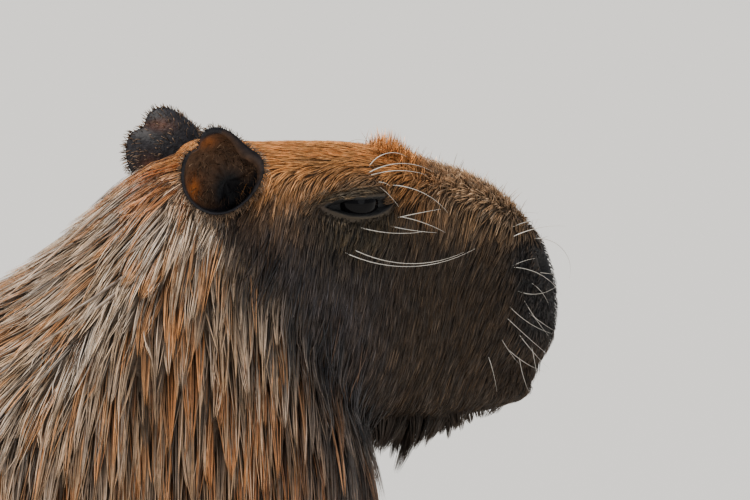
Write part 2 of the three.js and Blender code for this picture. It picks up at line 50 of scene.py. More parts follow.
rng = np.random.default_rng(7)

# %% [markdown]
# The body's form is the same set of upright sections that the solids are lofted from: a
# back line, a belly line and a half width, each a smooth curve through a few real sizes.
# Repeating them here, instead of reading the solids, gives a fine surface with no facets.

# %% Curves and rounded ends
def curve(points):
    """A smooth curve through [x, value] points that never overshoots them."""
    xs, vs = np.array(points, dtype=float).T
    secant = np.diff(vs) / np.diff(xs)
    slope = np.empty(len(xs))
    slope[0], slope[-1] = secant[0], secant[-1]
    a, b = secant[:-1], secant[1:]
    same = a * b > 0
    slope[1:-1] = np.where(same, 2 * a * b / np.where(same, a + b, 1), 0)

    def value(x):
        x = np.clip(np.asarray(x, dtype=float), xs[0], xs[-1])
        i = np.clip(np.searchsorted(xs, x, side="right") - 1, 0, len(xs) - 2)
        width = xs[i + 1] - xs[i]
        t = (x - xs[i]) / width
        return (vs[i] * (1 + 2 * t) * (1 - t) ** 2 + slope[i] * width * t * (1 - t) ** 2
                + vs[i + 1] * t * t * (3 - 2 * t) + slope[i + 1] * width * t * t * (t - 1))

    return value


def round_end(x, end, length, power):
    t = np.clip(1 - np.abs(end - x) / length, 0, 1)
    return (1 - t ** power) ** (1 / power)


def smooth(low, high, value):
    """0 below low, 1 above high, and smooth between."""
    t = np.clip((value - low) / (high - low), 0, 1)
    return t * t * (3 - 2 * t)


def signed_power(value, power):
    return np.sign(value) * np.abs(value) ** power


print("halfway up a smooth step:", float(smooth(0, 1, 0.5)))

# %% The trunk's sections
NOSE_X, RUMP_X, CHEST_X, NAPE_X = 500, -486, 372, 205
back_line = curve([[RUMP_X, 530], [-400, 550], [-270, 567], [-170, 568], [-70, 563], [0, 559],
                   [50, 566], [105, 589], [164, 630], [228, 680], [252, 668], [300, 606],
                   [340, 556], [CHEST_X, 512]])
belly_line = curve([[RUMP_X, 318], [-420, 262], [-340, 214], [-240, 196], [-100, 192], [0, 194],
                    [100, 205], [180, 222], [250, 250], [320, 292], [CHEST_X, 310]])
widest_line = curve([[RUMP_X, 432], [-370, 388], [-100, 340], [50, 350], [120, 372],
                     [180, 402], [240, 425], [CHEST_X, 432]])
trunk_half = curve([[RUMP_X, 130], [-370, 134], [-250, 145], [-100, 151], [0, 148],
                    [80, 137], [140, 124], [200, 103], [260, 92], [CHEST_X, 80]])
TRUNK_SWELLS = [
    (235, 385, 85, 105, 20),     # shoulder and upper arm
    (-345, 330, 110, 125, 16),   # haunch
    (-190, 300, 60, 90, -8),     # hollow of the flank
    (60, 330, 60, 120, -5),      # behind the shoulder
]
TRUNK_COAT, HEAD_COAT, JAW_COAT = 9, 3.5, 2    # how far the skin lies below the coat's outline
BELLY_COAT = 0.3                               # share of it on the thinly haired belly


def trunk_section(x, inset):
    end = min(round_end(x, RUMP_X + inset, 135, 2.3), round_end(x, CHEST_X - inset, 75, 2.4))
    mid = float(widest_line(x))

    def swell(z):
        return end * sum(h * np.exp(-((x - cx) / rx) ** 2 - ((z - cz) / rz) ** 2)
                         for cx, cz, rx, rz, h in TRUNK_SWELLS)

    return dict(mid=mid, power=2.25, swell=swell, up=(back_line(x) - mid - inset) * end,
                down=(mid - belly_line(x) - inset * BELLY_COAT) * end, half=(trunk_half(x) - inset) * end)


WITHERS_X = 50
print("trunk from", RUMP_X, "to", CHEST_X, "withers at", round(float(back_line(WITHERS_X))))

# %% The head's and the jaw's sections
crown_line = curve([[205, 640], [245, 688], [279, 685], [346, 683], [371, 679], [410, 666],
                    [439, 656], [NOSE_X, 634]])
lip_line = curve([[205, 520], [260, 490], [300, 484], [375, 486], [400, 492], [420, 501],
                  [440, 510], [NOSE_X, 515]])
cheek_line = curve([[205, 585], [300, 562], [380, 560], [NOSE_X, 568]])
head_half = curve([[205, 60], [260, 67], [300, 66], [340, 61], [380, 52], [420, 45], [450, 42],
                   [NOSE_X, 40]])


def head_section(x, inset):
    back = round_end(x, NAPE_X + inset, 40, 2)
    front = [min(back, round_end(x, NOSE_X - inset, 71, power)) for power in (2.5, 3.3, 3)]
    mid = float(cheek_line(x))
    return dict(mid=mid, power=2.7, swell=lambda z: 0 * z, up=(crown_line(x) - mid - inset) * front[0],
                down=(mid - lip_line(x) - inset) * front[1], half=(head_half(x) - inset) * front[2])


JAW_BACK_X, JAW_FRONT_X = 366, 489
jaw_bottom = curve([[JAW_BACK_X, 491], [400, 490], [446, 495], [JAW_FRONT_X, 505]])
jaw_half = curve([[JAW_BACK_X, 46], [420, 38], [460, 32], [JAW_FRONT_X, 27]])


def jaw_section(x, inset):
    end = min(round_end(x, JAW_FRONT_X - inset, 26, 2.6), round_end(x, JAW_BACK_X, 20, 2))
    return dict(mid=512, power=2.5, swell=lambda z: 0 * z, up=16 * end,
                down=(512 - jaw_bottom(x) - inset) * end, half=(jaw_half(x) - inset) * end)


def section_rings(section, inset, start, end, count, around):
    """Rings of points from start to end, closer together near both ends, with the two end points."""
    t = 0.5 - 0.5 * np.cos(np.linspace(0, np.pi, count + 2))
    xs = start + (end - start) * t
    angle = np.linspace(0, 2 * np.pi, around, endpoint=False)
    rings = []
    for x in xs[1:-1]:
        s = section(x, inset)
        reach = np.where(np.sin(angle) >= 0, s["up"], s["down"])
        z = s["mid"] + reach * signed_power(np.sin(angle), 2 / s["power"])
        y = signed_power(np.cos(angle), 2 / s["power"]) * (s["half"] + s["swell"](z))
        rings.append(np.stack([np.full(around, x), y, z], axis=1))
    tips = [np.array([x, 0, section(x, inset)["mid"]]) for x in (xs[0], xs[-1])]
    return rings, tips


print("head from", NAPE_X, "to", NOSE_X, "crown at", round(float(crown_line(279))))

# %% Meshes from rings
def loft(rings, tips):
    """Vertices and faces of a closed form through rings of equal count, with a point at each end."""
    around, count = len(rings[0]), len(rings)
    points = np.concatenate([[tips[0]], *rings, [tips[1]]])
    faces = []
    for i in range(around):
        j = (i + 1) % around
        faces.append((0, 1 + j, 1 + i))
        last = 1 + (count - 1) * around
        faces.append((last + around, last + i, last + j))
        for r in range(count - 1):
            a = 1 + r * around
            faces.append((a + i, a + j, a + around + j, a + around + i))
    return points, faces


def join_forms(forms):
    points, faces, base = [], [], 0
    for form_points, form_faces in forms:
        points.append(form_points)
        faces += [tuple(base + i for i in face) for face in form_faces]
        base += len(form_points)
    return np.concatenate(points), faces


def make_object(name, form, material=None):
    """A mesh object in metres from points in millimetres, with its faces turned outward."""
    points, faces = form
    mesh = bpy.data.meshes.new(name)
    mesh.from_pydata((np.asarray(points) * MM).tolist(), [], faces)
    shape = bmesh.new()
    shape.from_mesh(mesh)
    bmesh.ops.recalc_face_normals(shape, faces=shape.faces)
    shape.to_mesh(mesh)
    shape.free()
    mesh.shade_smooth()
    if material:
        mesh.materials.append(material)
    made = bpy.data.objects.new(name, mesh)
    bpy.context.scene.collection.objects.link(made)
    return made


# %% Limbs and balls
TIP_BULGE = 0.45        # how far a limb's end points stand out, as a share of its radius


def limb(points, count, around, power=2.0):
    """An oval tube square to a smooth path through (x, y, z, front half, side half) points."""
    points = np.array(points, dtype=float)
    padded = np.vstack([2 * points[0] - points[1], points, 2 * points[-1] - points[-2]])
    rings, path = [], []
    for t in np.linspace(0, len(points) - 1 - 1e-6, count):
        i = int(t)
        f = t - i
        p0, p1, p2, p3 = padded[i:i + 4]
        at = 0.5 * (2 * p1 + (p2 - p0) * f + (2 * p0 - 5 * p1 + 4 * p2 - p3) * f ** 2
                    + (3 * p1 - p0 - 3 * p2 + p3) * f ** 3)
        along = 0.5 * ((p2 - p0) + 2 * (2 * p0 - 5 * p1 + 4 * p2 - p3) * f
                       + 3 * (3 * p1 - p0 - 3 * p2 + p3) * f ** 2)
        tangent = along[:3] / np.linalg.norm(along[:3])
        across = np.array([0, 1, 0]) - tangent * tangent[1]
        across /= np.linalg.norm(across)
        forward = np.cross(across, tangent)
        angle = np.linspace(0, 2 * np.pi, around, endpoint=False)
        ring = (at[:3] + np.outer(signed_power(np.cos(angle), 2 / power), across) * at[4]
                + np.outer(signed_power(np.sin(angle), 2 / power), forward) * at[3])
        rings.append(ring)
        path.append((at[:3], tangent, at[3]))
    first, last = path[0], path[-1]
    tips = [first[0] - first[1] * first[2] * TIP_BULGE, last[0] + last[1] * last[2] * TIP_BULGE]
    return loft(rings, tips)


def ball(centre, radii, around=32, high=18):
    angles = np.linspace(0, np.pi, high + 2)[1:-1]
    turn = np.linspace(0, 2 * np.pi, around, endpoint=False)
    rings = [np.array(centre) + np.stack([np.sin(a) * np.cos(turn), np.sin(a) * np.sin(turn),
                                          np.full(around, np.cos(a))], axis=1) * radii for a in angles]
    tips = [np.array(centre) + [0, 0, radii[2]], np.array(centre) - [0, 0, radii[2]]]
    return loft(rings, tips)


print("a ball has", len(ball((0, 0, 0), (1, 1, 1))[0]), "points")

# %% [markdown]
# A capybara stands on short legs and half-webbed feet, with four toes in front and three
# behind. They could be sculpted by hand, but an oval tube along a bent path gives a leg in
# six points, and a low pad with a fan of toes gives a foot that can be sized in one place.
# The step of each leg follows the solids, so the soles meet the floor where theirs do.

# %% Legs, feet and claws
LEGS = {"right_fore": (-1, 20), "left_fore": (1, -14), "right_hind": (-1, -26), "left_hind": (1, 22)}
FORE_POINTS = [(235, 84, 350, 72, 40), (234, 89, 270, 53, 38), (243, 88, 190, 33, 28),
               (249, 88, 120, 25, 23), (252, 88, 72, 23, 22), (260, 88, 36, 25, 28)]
HIND_POINTS = [(-350, 92, 372, 116, 47), (-352, 100, 292, 104, 48), (-376, 104, 216, 69, 39),
               (-418, 104, 152, 32, 25), (-414, 104, 100, 25, 23), (-385, 104, 40, 25, 29)]
FORE_FOOT = dict(x=262, y=88, toes=4, toe_length=62, spread=15, turn=0.13, pad=(30, 29))
HIND_FOOT = dict(x=-383, y=104, toes=3, toe_length=84, spread=17, turn=0.12, pad=(34, 29))
LEG_COAT, TOE_RADIUS, CLAW_LENGTH = 3, 10.5, 24
WEB_REACH = 0.62        # how far the web fills the gap between two toes


def leg_form(fore, side, step):
    points = [(x + step * max(0, 1 - z / 300), y * side, z, front - LEG_COAT, half - LEG_COAT)
              for x, y, z, front, half in (FORE_POINTS if fore else HIND_POINTS)]
    return limb(points, 40, 36)


def toe_line(foot, side, step, i):
    offset = i - (foot["toes"] - 1) / 2
    angle = offset * foot["turn"]
    start = np.array([foot["x"] + step, side * (foot["y"] + offset * foot["spread"]), 20.0])
    reach = foot["toe_length"] * (1 - 0.07 * offset * offset)
    tip = start + np.array([np.cos(angle), side * np.sin(angle), 0]) * reach
    tip[2] = 9.5
    return start, tip


def foot_forms(foot, side, step):
    forms = [ball((foot["x"] + step + 6, side * foot["y"], 15), (foot["pad"][0] - 1, foot["pad"][1] - 1, 20))]
    for i in range(foot["toes"]):
        start, tip = toe_line(foot, side, step, i)
        knuckle = start + (tip - start) * 0.55
        knuckle[2] = 16
        r = TOE_RADIUS - 0.8
        toe = [(*start, r * 1.3, r * 1.1), (*knuckle, r * 1.15, r), (*tip, r * 0.85, r * 0.8)]
        forms.append(limb(toe, 14, 18))
        if i:
            before = toe_line(foot, side, step, i - 1)
            corners = [before[0], before[0] + (before[1] - before[0]) * WEB_REACH,
                       start + (tip - start) * WEB_REACH, start]
            low, high = (np.array([[*p[:2], z] for p in corners]) for z in (4, 13))
            forms.append(loft([low, high], [low.mean(axis=0), high.mean(axis=0)]))
    return forms


def claw_form(foot, side, step, i):
    start, tip = toe_line(foot, side, step, i)
    way = (tip - start) * [1, 1, 0]
    way /= np.linalg.norm(way)
    stops = [(-7, 11.5, 6.3, 5.8), (CLAW_LENGTH * 0.35, 9.8, 5.2, 5.6), (CLAW_LENGTH * 0.72, 5.2, 2, 3.4)]
    return limb([(*(tip + way * along)[:2], z, front, half) for along, z, front, half in stops], 12, 18, 2.4)


print("legs:", ", ".join(LEGS))

# %% [markdown]
# On the animal one skin runs over every part, with no seam. The lofts could be joined by
# booleans, but those leave hard creases and thin slivers. A voxel remesh rebuilds all of
# them on one fine grid, which fuses them where they overlap, and a little smoothing then
# rounds the places where neck meets head and leg meets body.

# %% The skin, fused from the lofts
EYE = dict(x=346, y=39.5, z=644.5, radius=15)
LID_THICKNESS = 2.6
VOXEL = 0.0051          # metres: fine enough for the toes, coarse enough to keep the skin light
TAIL_POINTS = [(RUMP_X + 40, 0, 452, 12, 12), (RUMP_X - 7, 0, 448, 12, 12), (RUMP_X - 14, 0, 442, 7, 7)]
skin_forms = [
    loft(*section_rings(trunk_section, TRUNK_COAT, RUMP_X + TRUNK_COAT, CHEST_X - TRUNK_COAT, 90, 80)),
    loft(*section_rings(head_section, HEAD_COAT, NAPE_X + HEAD_COAT, NOSE_X - HEAD_COAT, 70, 80)),
    loft(*section_rings(jaw_section, JAW_COAT, JAW_BACK_X, JAW_FRONT_X - JAW_COAT, 30, 40)),
    limb(TAIL_POINTS, 12, 20),
]
for side in (-1, 1):
    lid = EYE["radius"] + LID_THICKNESS
    skin_forms.append(ball((EYE["x"], side * EYE["y"], EYE["z"]), (lid + 5, lid, lid - 1)))
for name, (side, step) in LEGS.items():
    fore = name.endswith("fore")
    skin_forms.append(leg_form(fore, side, step))
    skin_forms += foot_forms(FORE_FOOT if fore else HIND_FOOT, side, step)
skin = make_object("skin", join_forms(skin_forms))
remesh = skin.modifiers.new("fuse", "REMESH")
remesh.mode = "VOXEL"
remesh.voxel_size = VOXEL
relax = skin.modifiers.new("relax", "SMOOTH")
relax.factor, relax.iterations = 0.5, 6


def apply_modifiers(made):
    """The object's modifiers become its mesh, and are gone."""
    graph = bpy.context.evaluated_depsgraph_get()
    mesh = bpy.data.meshes.new_from_object(made.evaluated_get(graph))
    made.modifiers.clear()
    made.data = mesh
    return mesh


apply_modifiers(skin)
print("skin faces after fusing:", len(skin.data.polygons))

# %% [markdown]
# Soles press flat on the ground, and a face needs finer skin than a flank. The whole skin
# could be cut finer, but most of it lies under hair. Only the muzzle and three boxes that
# close in on each eye are subdivided, so that lids and nostrils have faces to bend.

# %% Flat soles and a finer head
SOLE_HEIGHT = 0.0004                                # metres above the floor
MUZZLE_X, MUZZLE_Z = 0.425, 0.49                    # the muzzle lies beyond both
EYE_BOXES = ((60, 44), (46, 31), (33, 19))          # millimetres each way from the eye
EYE_SIDE = 0.03                                     # metres off the middle of the head
shape = bmesh.new()
shape.from_mesh(skin.data)
for vertex in shape.verts:
    vertex.co.z = max(vertex.co.z, SOLE_HEIGHT)
head_edges = [e for e in shape.edges if all(v.co.x > MUZZLE_X and v.co.z > MUZZLE_Z for v in e.verts)]
bmesh.ops.subdivide_edges(shape, edges=head_edges, cuts=1, use_grid_fill=True, smooth=0.6)
for long, high in EYE_BOXES:
    eye_edges = [e for e in shape.edges
                 if all(abs(v.co.x / MM - EYE["x"]) < long and v.co.y ** 2 > EYE_SIDE ** 2
                        and abs(v.co.z / MM - EYE["z"]) < high for v in e.verts)]
    bmesh.ops.subdivide_edges(shape, edges=eye_edges, cuts=1, use_grid_fill=True, smooth=0.5)
bmesh.ops.triangulate(shape, faces=[f for f in shape.faces if len(f.verts) > 4])
shape.to_mesh(skin.data)
shape.free()
print("skin faces with the finer head:", len(skin.data.polygons), "corners:", len(skin.data.loops))

# %% [markdown]
# The remeshed head is a smooth egg, without the brow, sockets, nostrils and mouth that
# make a face. They could be sculpted with brushes, but a script can't repeat a brush
# stroke. Each fold is a named place, a size and a push along the skin's normal instead,
# and the opening between the lids is sunk so that the eyeball shows in it.

# %% Folds of the head
def skin_arrays(made):
    mesh = made.data
    points = np.empty(len(mesh.vertices) * 3)
    mesh.vertices.foreach_get("co", points)
    normals = np.empty(len(mesh.vertices) * 3)
    mesh.vertices.foreach_get("normal", normals)
    return points.reshape(-1, 3) / MM, normals.reshape(-1, 3)


def ease(points, centre, radii, turn=0.0):
    """1 at a centre on either side of the head, falling to 0 about two radii away, turned in the XZ plane."""
    x, z = points[:, 0] - centre[0], points[:, 2] - centre[2]
    along, up = x * math.cos(turn) + z * math.sin(turn), z * math.cos(turn) - x * math.sin(turn)
    side = np.abs(points[:, 1]) - centre[1]
    return np.exp(-(along / radii[0]) ** 2 - (side / radii[1]) ** 2 - (up / radii[2]) ** 2)


FOLDS = [                                       # centre, radii, turn, push in millimetres
    ((343, 60, 667), (32, 28, 8.5), -0.10, 4.5),    # brow
    ((346, 57, 622), (25, 24, 6.5), -0.12, 2.6),    # cushion below the eye
    ((343, 58, 608), (27, 24, 5.5), -0.12, -3.0),   # hollow below the cushion
    ((318, 58, 645), (9, 22, 9), 0, -2.6),          # rear corner
    ((377, 48, 645), (11, 22, 10), 0.3, -3.0),      # front corner
    ((300, 62, 590), (34, 30, 40), 0.3, 3.0),       # cheek muscle
    ((470, 40, 560), (26, 26, 34), 0.2, 3.0),       # swell of the upper lip
    ((470, 42, 600), (6.5, 22, 36), 0.12, -2.2),    # groove behind the nose
    ((262, 66, 640), (15, 26, 24), 0, -5.0),        # in front of the ear
    ((485, 25.5, 596), (4.4, 8, 8.0), 0.4, -10.0),  # nostril
    ((478, 29, 599), (3.4, 9, 11), 0.4, 1.8),       # rim behind the nostril
    ((483, 29, 583), (8, 12, 4), 0.1, 1.6),         # wing below the nostril
    ((255, 60, 662), (19, 30, 18), 0, -27.0),       # hollow that the ear sits in
    ((484, 10, 513), (9, 24, 8), 0, -5.5),          # front of the lower lip
]
SLIT = dict(x=348.0, half=26.0, upper=4.6, lower=6.6, rear_drop=-0.6)   # the lids' opening
MOUTH_DEPTH, SPLIT_DEPTH, LID_ROLL = 3.4, 3.0, 0.9


def slit_depth(p):
    """Millimetres inside the opening between the lids, negative outside it."""
    along = np.clip((p[:, 0] - SLIT["x"]) / SLIT["half"], -1.4, 1.4)
    tilt = SLIT["rear_drop"] * (1 - along) / 2
    top = SLIT["upper"] * (1 - np.abs(along) ** 3.2) + tilt
    bottom = -SLIT["lower"] * (1 - np.abs(along) ** 2.2) + tilt
    z = p[:, 2] - EYE["z"]
    return np.where(np.abs(p[:, 1]) > 30, np.minimum(top - z, z - bottom), -99.0)


points, normals = skin_arrays(skin)
push = np.zeros(len(points))
for centre, radii, turn, height in FOLDS:
    push += height * ease(points, centre, radii, turn)
mouth_z = lip_line(points[:, 0])
mouth = np.exp(-((points[:, 2] - mouth_z) / 3.0) ** 2) * smooth(428, 450, points[:, 0])
push -= MOUTH_DEPTH * mouth * (points[:, 2] > 480)
split = np.exp(-(points[:, 1] / 2.2) ** 2) * smooth(485, 493, points[:, 0]) * smooth(512, 520, points[:, 2])
push -= SPLIT_DEPTH * split * (1 - smooth(560, 575, points[:, 2]))
inside = slit_depth(points)
near = np.exp(-((np.abs(points[:, 0] - EYE["x"]) / 30) ** 4)) * (inside > -60)
push += near * (LID_ROLL * np.exp(-((inside + 1.6) / 1.2) ** 2)
                - LID_ROLL * np.exp(-((inside + 6.5) / 1.5) ** 2))
deep = 7.5 * np.exp(-((points[:, 0] - EYE["x"]) / 17) ** 4) + 2.2
push -= deep * smooth(-0.3, 1.0, inside)
points += normals * push[:, None]
skin.data.vertices.foreach_set("co", (points * MM).ravel())
skin.data.update()
print("largest push in and out, mm:", round(float(push.min()), 1), round(float(push.max()), 1))

# %% [markdown]
# The animal is rust along the crown, pale where the light catches nape and shoulder, tan
# on top of the muzzle, dark grey brown on cheek and jaw, and near black round nose and
# feet. Skin and hair could be painted apart, but they would drift, so one function gives
# the colour of any place, and both ask it.

# %% Colours and shares
RUST = np.array([0.540, 0.225, 0.062])
TAN = np.array([0.400, 0.250, 0.140])
# painted highlight: the pale of wet hair where the light catches nape and shoulder
SUNLIT_STRAW = np.array([0.660, 0.500, 0.360])
LEG = np.array([0.105, 0.070, 0.046])
DUSK = np.array([0.048, 0.038, 0.035])
UMBER = np.array([0.045, 0.030, 0.019])
BROWN = np.array([0.190, 0.110, 0.058])
OLIVE = np.array([0.052, 0.038, 0.022])
SLATE = np.array([0.030, 0.026, 0.025])
NOSTRIL = (486, 25.5, 596)
HEAD_POINT, HEAD_NORMAL = np.array([204, 0, 690]), np.array([220, 0, 176]) / np.hypot(220, 176)


def head_share(p):
    """1 on the head, 0 behind it, with a soft border."""
    return smooth(-25, 20, (p - HEAD_POINT) @ HEAD_NORMAL)


def nose_share(p):
    """1 on the short-haired skin round the nostrils."""
    x, z = p[:, 0], p[:, 2]
    return smooth(458, 470, x + 0.06 * (z - 560)) * smooth(535, 560, z) * (1 - smooth(606, 622, z))


def blend(a, b, share):
    """From a to b by a share at each place; a and b are one row, or a row for each place."""
    a, b = np.asarray(a), np.asarray(b)
    return a + (b - a) * share[:, None]


print("colours from", DUSK, "to", SUNLIT_STRAW)

# %% Markings and painted light
def markings_and_painted_light(p):
    """Linear colours for places in millimetres: the coat's own colours, with painted highlight on nape and
    shoulder and painted shade in the nostrils and the lids' openings.
    """
    x, z = p[:, 0], p[:, 2]
    body = blend(BROWN, 0.27 * RUST + 0.5 * TAN, smooth(300, 560, z))
    body = blend(body, LEG, 1 - smooth(190, 330, z))
    # paler over shoulder and neck: partly the hair's own tan and partly painted highlight where the light
    # catches it
    front = smooth(40, 130, x) * smooth(-330, -60, (z - 690) + (x - 204) * -0.65)
    body = blend(body, 0.5 * SUNLIT_STRAW + 0.5 * TAN, 0.75 * front)
    # palest along the nape: painted highlight of the light on its wet hair
    nape = smooth(20, 110, x) * (1 - smooth(20, 110, back_line(x) - z))
    body = blend(body, 1.25 * SUNLIT_STRAW, 0.85 * nape)
    throat = smooth(250, 320, x) * (1 - smooth(560, 640, z))
    body = blend(body, DUSK, 0.85 * throat)
    below_crown = z - crown_line(x)
    head = blend(DUSK, UMBER, smooth(330, 400, x))
    head = blend(head, BROWN, smooth(618, 678, z) * (1 - smooth(385, 450, x)))
    head = blend(head, RUST, smooth(-34, -6, below_crown) * (1 - smooth(385, 430, x)))
    # painted highlight on the top of the head at its back, next to the nape
    head = blend(head, SUNLIT_STRAW, 0.9 * smooth(-40, -6, below_crown) * (1 - smooth(200, 236, x)))
    head = blend(head, TAN, smooth(-38, -5, below_crown) * smooth(385, 430, x))
    eye = ease(p, (346, 52, 640), (30, 40, 24))
    head = blend(head, OLIVE, np.clip(1.4 * eye, 0, 0.9) * (1 - smooth(-14, -3, below_crown)))
    head = blend(head, SLATE, 0.85 * nose_share(p))
    head = blend(head, 0.5 * BROWN, 0.8 * ease(p, (478, 29, 597), (2.4, 9, 9), 0.4))
    # painted shade: the nostril's hollow darkened to near black
    head = blend(head, SLATE * 0.2, ease(p, NOSTRIL, (4, 9, 7.5), 0.4))
    colour = blend(body, head, head_share(p))
    # near black inside the lids' opening: partly the dark skin of the eye's corners and partly painted shade
    # in the sunk socket
    colour = blend(colour, SLATE * 0.16, smooth(-1.8, -0.4, slit_depth(p)))
    return blend(colour, SLATE * 1.3, 1 - smooth(20, 75, z))


def paint(mesh, name, colours):
    """Stores a colour for each vertex."""
    layer = mesh.color_attributes.new(name, "FLOAT_COLOR", "POINT")
    layer.data.foreach_set("color", np.concatenate([colours, np.ones((len(colours), 1))], axis=1).ravel())


# painted shade under the coat: the skin takes about a quarter of the hair's colour, and only the bare lids
# round the eye's opening keep nearly all of it
paint(skin.data, "markings_and_painted_light", markings_and_painted_light(points) * (0.24 + 0.68 * smooth(-12, -7, slit_depth(points)))[:, None])
print("skin painted")

# %% [markdown]
# Wet hair shines along its length, dry face hair hardly at all, and the underfur between
# them is dull. Each finish is one shader with its gloss on its own socket, tinted by the
# stored colour, and a noise in the object's space breaks the tint up without any image.

# %% Material helpers
def new_material(name, roughness, **sockets):
    material = bpy.data.materials.new(name)
    material.use_nodes = True
    nodes = material.node_tree.nodes
    shader = nodes["Principled BSDF"]
    shader.inputs["Roughness"].default_value = roughness
    for key, value in sockets.items():
        shader.inputs[key.replace("_", " ")].default_value = value
    return material, nodes, material.node_tree.links, shader


def add_noise(nodes, links, scale, detail=3.0, stretch=(1, 1, 1)):
    """Noise in the object's own space, stretched along one way."""
    place = nodes.new("ShaderNodeTexCoord")
    turn = nodes.new("ShaderNodeMapping")
    turn.inputs["Scale"].default_value = stretch
    noise = nodes.new("ShaderNodeTexNoise")
    noise.inputs["Scale"].default_value = scale
    noise.inputs["Detail"].default_value = detail
    links.new(place.outputs["Object"], turn.inputs["Vector"])
    links.new(turn.outputs["Vector"], noise.inputs["Vector"])
    return noise


def add_bump(nodes, links, shader, height, strength, distance):
    bump = nodes.new("ShaderNodeBump")
    bump.inputs["Strength"].default_value = strength
    bump.inputs["Distance"].default_value = distance
    links.new(height, bump.inputs["Height"])
    links.new(bump.outputs["Normal"], shader.inputs["Normal"])


def tinted_by(name, nodes, links, shader, noise, low, high):
    """The stored colour, made darker and lighter by a noise."""
    stored = nodes.new("ShaderNodeVertexColor")
    stored.layer_name = name
    span = nodes.new("ShaderNodeMapRange")
    span.inputs["To Min"].default_value = low
    span.inputs["To Max"].default_value = high
    links.new(noise.outputs["Fac"], span.inputs["Value"])
    scale = nodes.new("ShaderNodeVectorMath")
    scale.operation = "SCALE"
    links.new(stored.outputs["Color"], scale.inputs[0])
    links.new(span.outputs["Result"], scale.inputs["Scale"])
    links.new(scale.outputs["Vector"], shader.inputs["Base Color"])


def toned(name, roughness, scale, detail, dark, pale, stretch=(1, 1, 1)):
    """A finish whose colour runs from dark to pale by a noise."""
    material, nodes, links, shader = new_material(name, roughness)
    noise = add_noise(nodes, links, scale, detail, stretch)
    ramp = nodes.new("ShaderNodeValToRGB")
    for element, tone in zip(ramp.color_ramp.elements, (dark, pale)):
        element.color = (*tone, 1)
    links.new(noise.outputs["Fac"], ramp.inputs["Fac"])
    links.new(ramp.outputs["Color"], shader.inputs["Base Color"])
    return material, nodes, links, shader, noise


# %% Underfur and hair finishes
skin_material, nodes, links, shader = new_material("underfur", 0.75)
fur_noise = add_noise(nodes, links, 900, 4, (0.35, 1, 0.5))
tinted_by("markings_and_painted_light", nodes, links, shader, fur_noise, 0.45, 1.5)
add_bump(nodes, links, shader, fur_noise.outputs["Fac"], 0.6, 0.0012)
skin.data.materials.clear()
skin.data.materials.append(skin_material)


def hair_finish(name, roughness, gloss, low, high):
    material, nodes, links, shader = new_material(name, roughness, Specular_IOR_Level=gloss)
    tinted_by("hair", nodes, links, shader, add_noise(nodes, links, 240, 2), low, high)
    return material


face_hair = hair_finish("face_hair", 0.55, 0.3, 0.7, 1.35)
wet_hair = hair_finish("wet_hair", 0.34, 0.65, 0.6, 1.45)
print("hair finishes:", face_hair.name, wet_hair.name)

# %% [markdown]
# A capybara's hair is coarse and sparse, and wet it gathers into pointed locks. Blender's
# hair curves would be quick to comb, but the export drops them. The coat is thousands of
# thin tufts instead, each a tapered three-sided spear that walks over the skin along the
# lie of the hair. Arrays hold all of them at once, because a curve for each would be slow,
# and tufts near one another lean towards a shared leader at their tips.

# %% The lie of the coat
hang_line = curve([[RUMP_X, 1.6], [-330, 1.1], [-150, 0.55], [0, 0.6], [110, 1.1], [200, 2.4], [330, 4]])


def lie(p):
    """The way the hair runs at places in millimetres, before it is laid on the skin."""
    x, z = p[:, 0], p[:, 2]
    hang = hang_line(x) + 3.5 * smooth(30, 130, back_line(x) - z) * smooth(-160, 110, x)
    body = np.stack([-np.ones(len(p)), 0 * x, -hang], axis=1)
    body = blend(body, [-0.15, 0, -1.0], 1 - smooth(215, 300, z))
    top = smooth(-26, -8, z - crown_line(x))
    down = np.stack([-0.28 - 0.25 * smooth(400, 470, x), 0 * x, -np.ones(len(p))], axis=1)
    head = blend(down, [-1.0, 0, -0.12], top)
    lid = ease(p, (348, 50, 650), (32, 40, 9)) * smooth(640, 646, z)
    head = blend(head, [-1.0, 0, -0.05], np.clip(1.5 * lid, 0, 1))
    flow = blend(body, head, head_share(p))
    feet = 1 - smooth(30, 60, z)
    return blend(flow, [1.0, 0, -0.5], feet)


print("lie on the neck:", lie(np.array([[150.0, 60.0, 500.0]]))[0].round(2))

# %% Roots spread over the skin
def triangles_of(mesh):
    mesh.calc_loop_triangles()
    index = np.empty(len(mesh.loop_triangles) * 3, dtype=np.int64)
    mesh.loop_triangles.foreach_get("vertices", index)
    return index.reshape(-1, 3)


points, normals = skin_arrays(skin)
corners = triangles_of(skin.data)
a, b, c = (points[corners[:, i]] for i in range(3))
areas = 0.5 * np.linalg.norm(np.cross(b - a, c - a), axis=1)
centres = (a + b + c) / 3


def spread(count, weight):
    """Random places on the skin, more where the weight is higher."""
    odds = areas * weight
    picked = np.searchsorted(np.cumsum(odds) / odds.sum(), rng.random(count))
    u, v = rng.random((2, count, 1))
    flip = (u + v) > 1
    u, v = np.where(flip, 1 - u, u), np.where(flip, 1 - v, v)
    return a[picked] + (b[picked] - a[picked]) * u + (c[picked] - a[picked]) * v


skin_tree = BVHTree.FromPolygons((points * MM).tolist(), corners.tolist())


def nearest(places):
    """The nearest skin place and its normal, for each place."""
    found = [skin_tree.find_nearest(Vector(p)) for p in places * MM]
    return np.array([f[0] for f in found]) / MM, np.array([f[1] for f in found])


def unit(vectors):
    return vectors / np.maximum(np.linalg.norm(vectors, axis=1, keepdims=True), 1e-9)


print("skin to grow on, square metres:", round(float(areas.sum()) * MM * MM, 2))

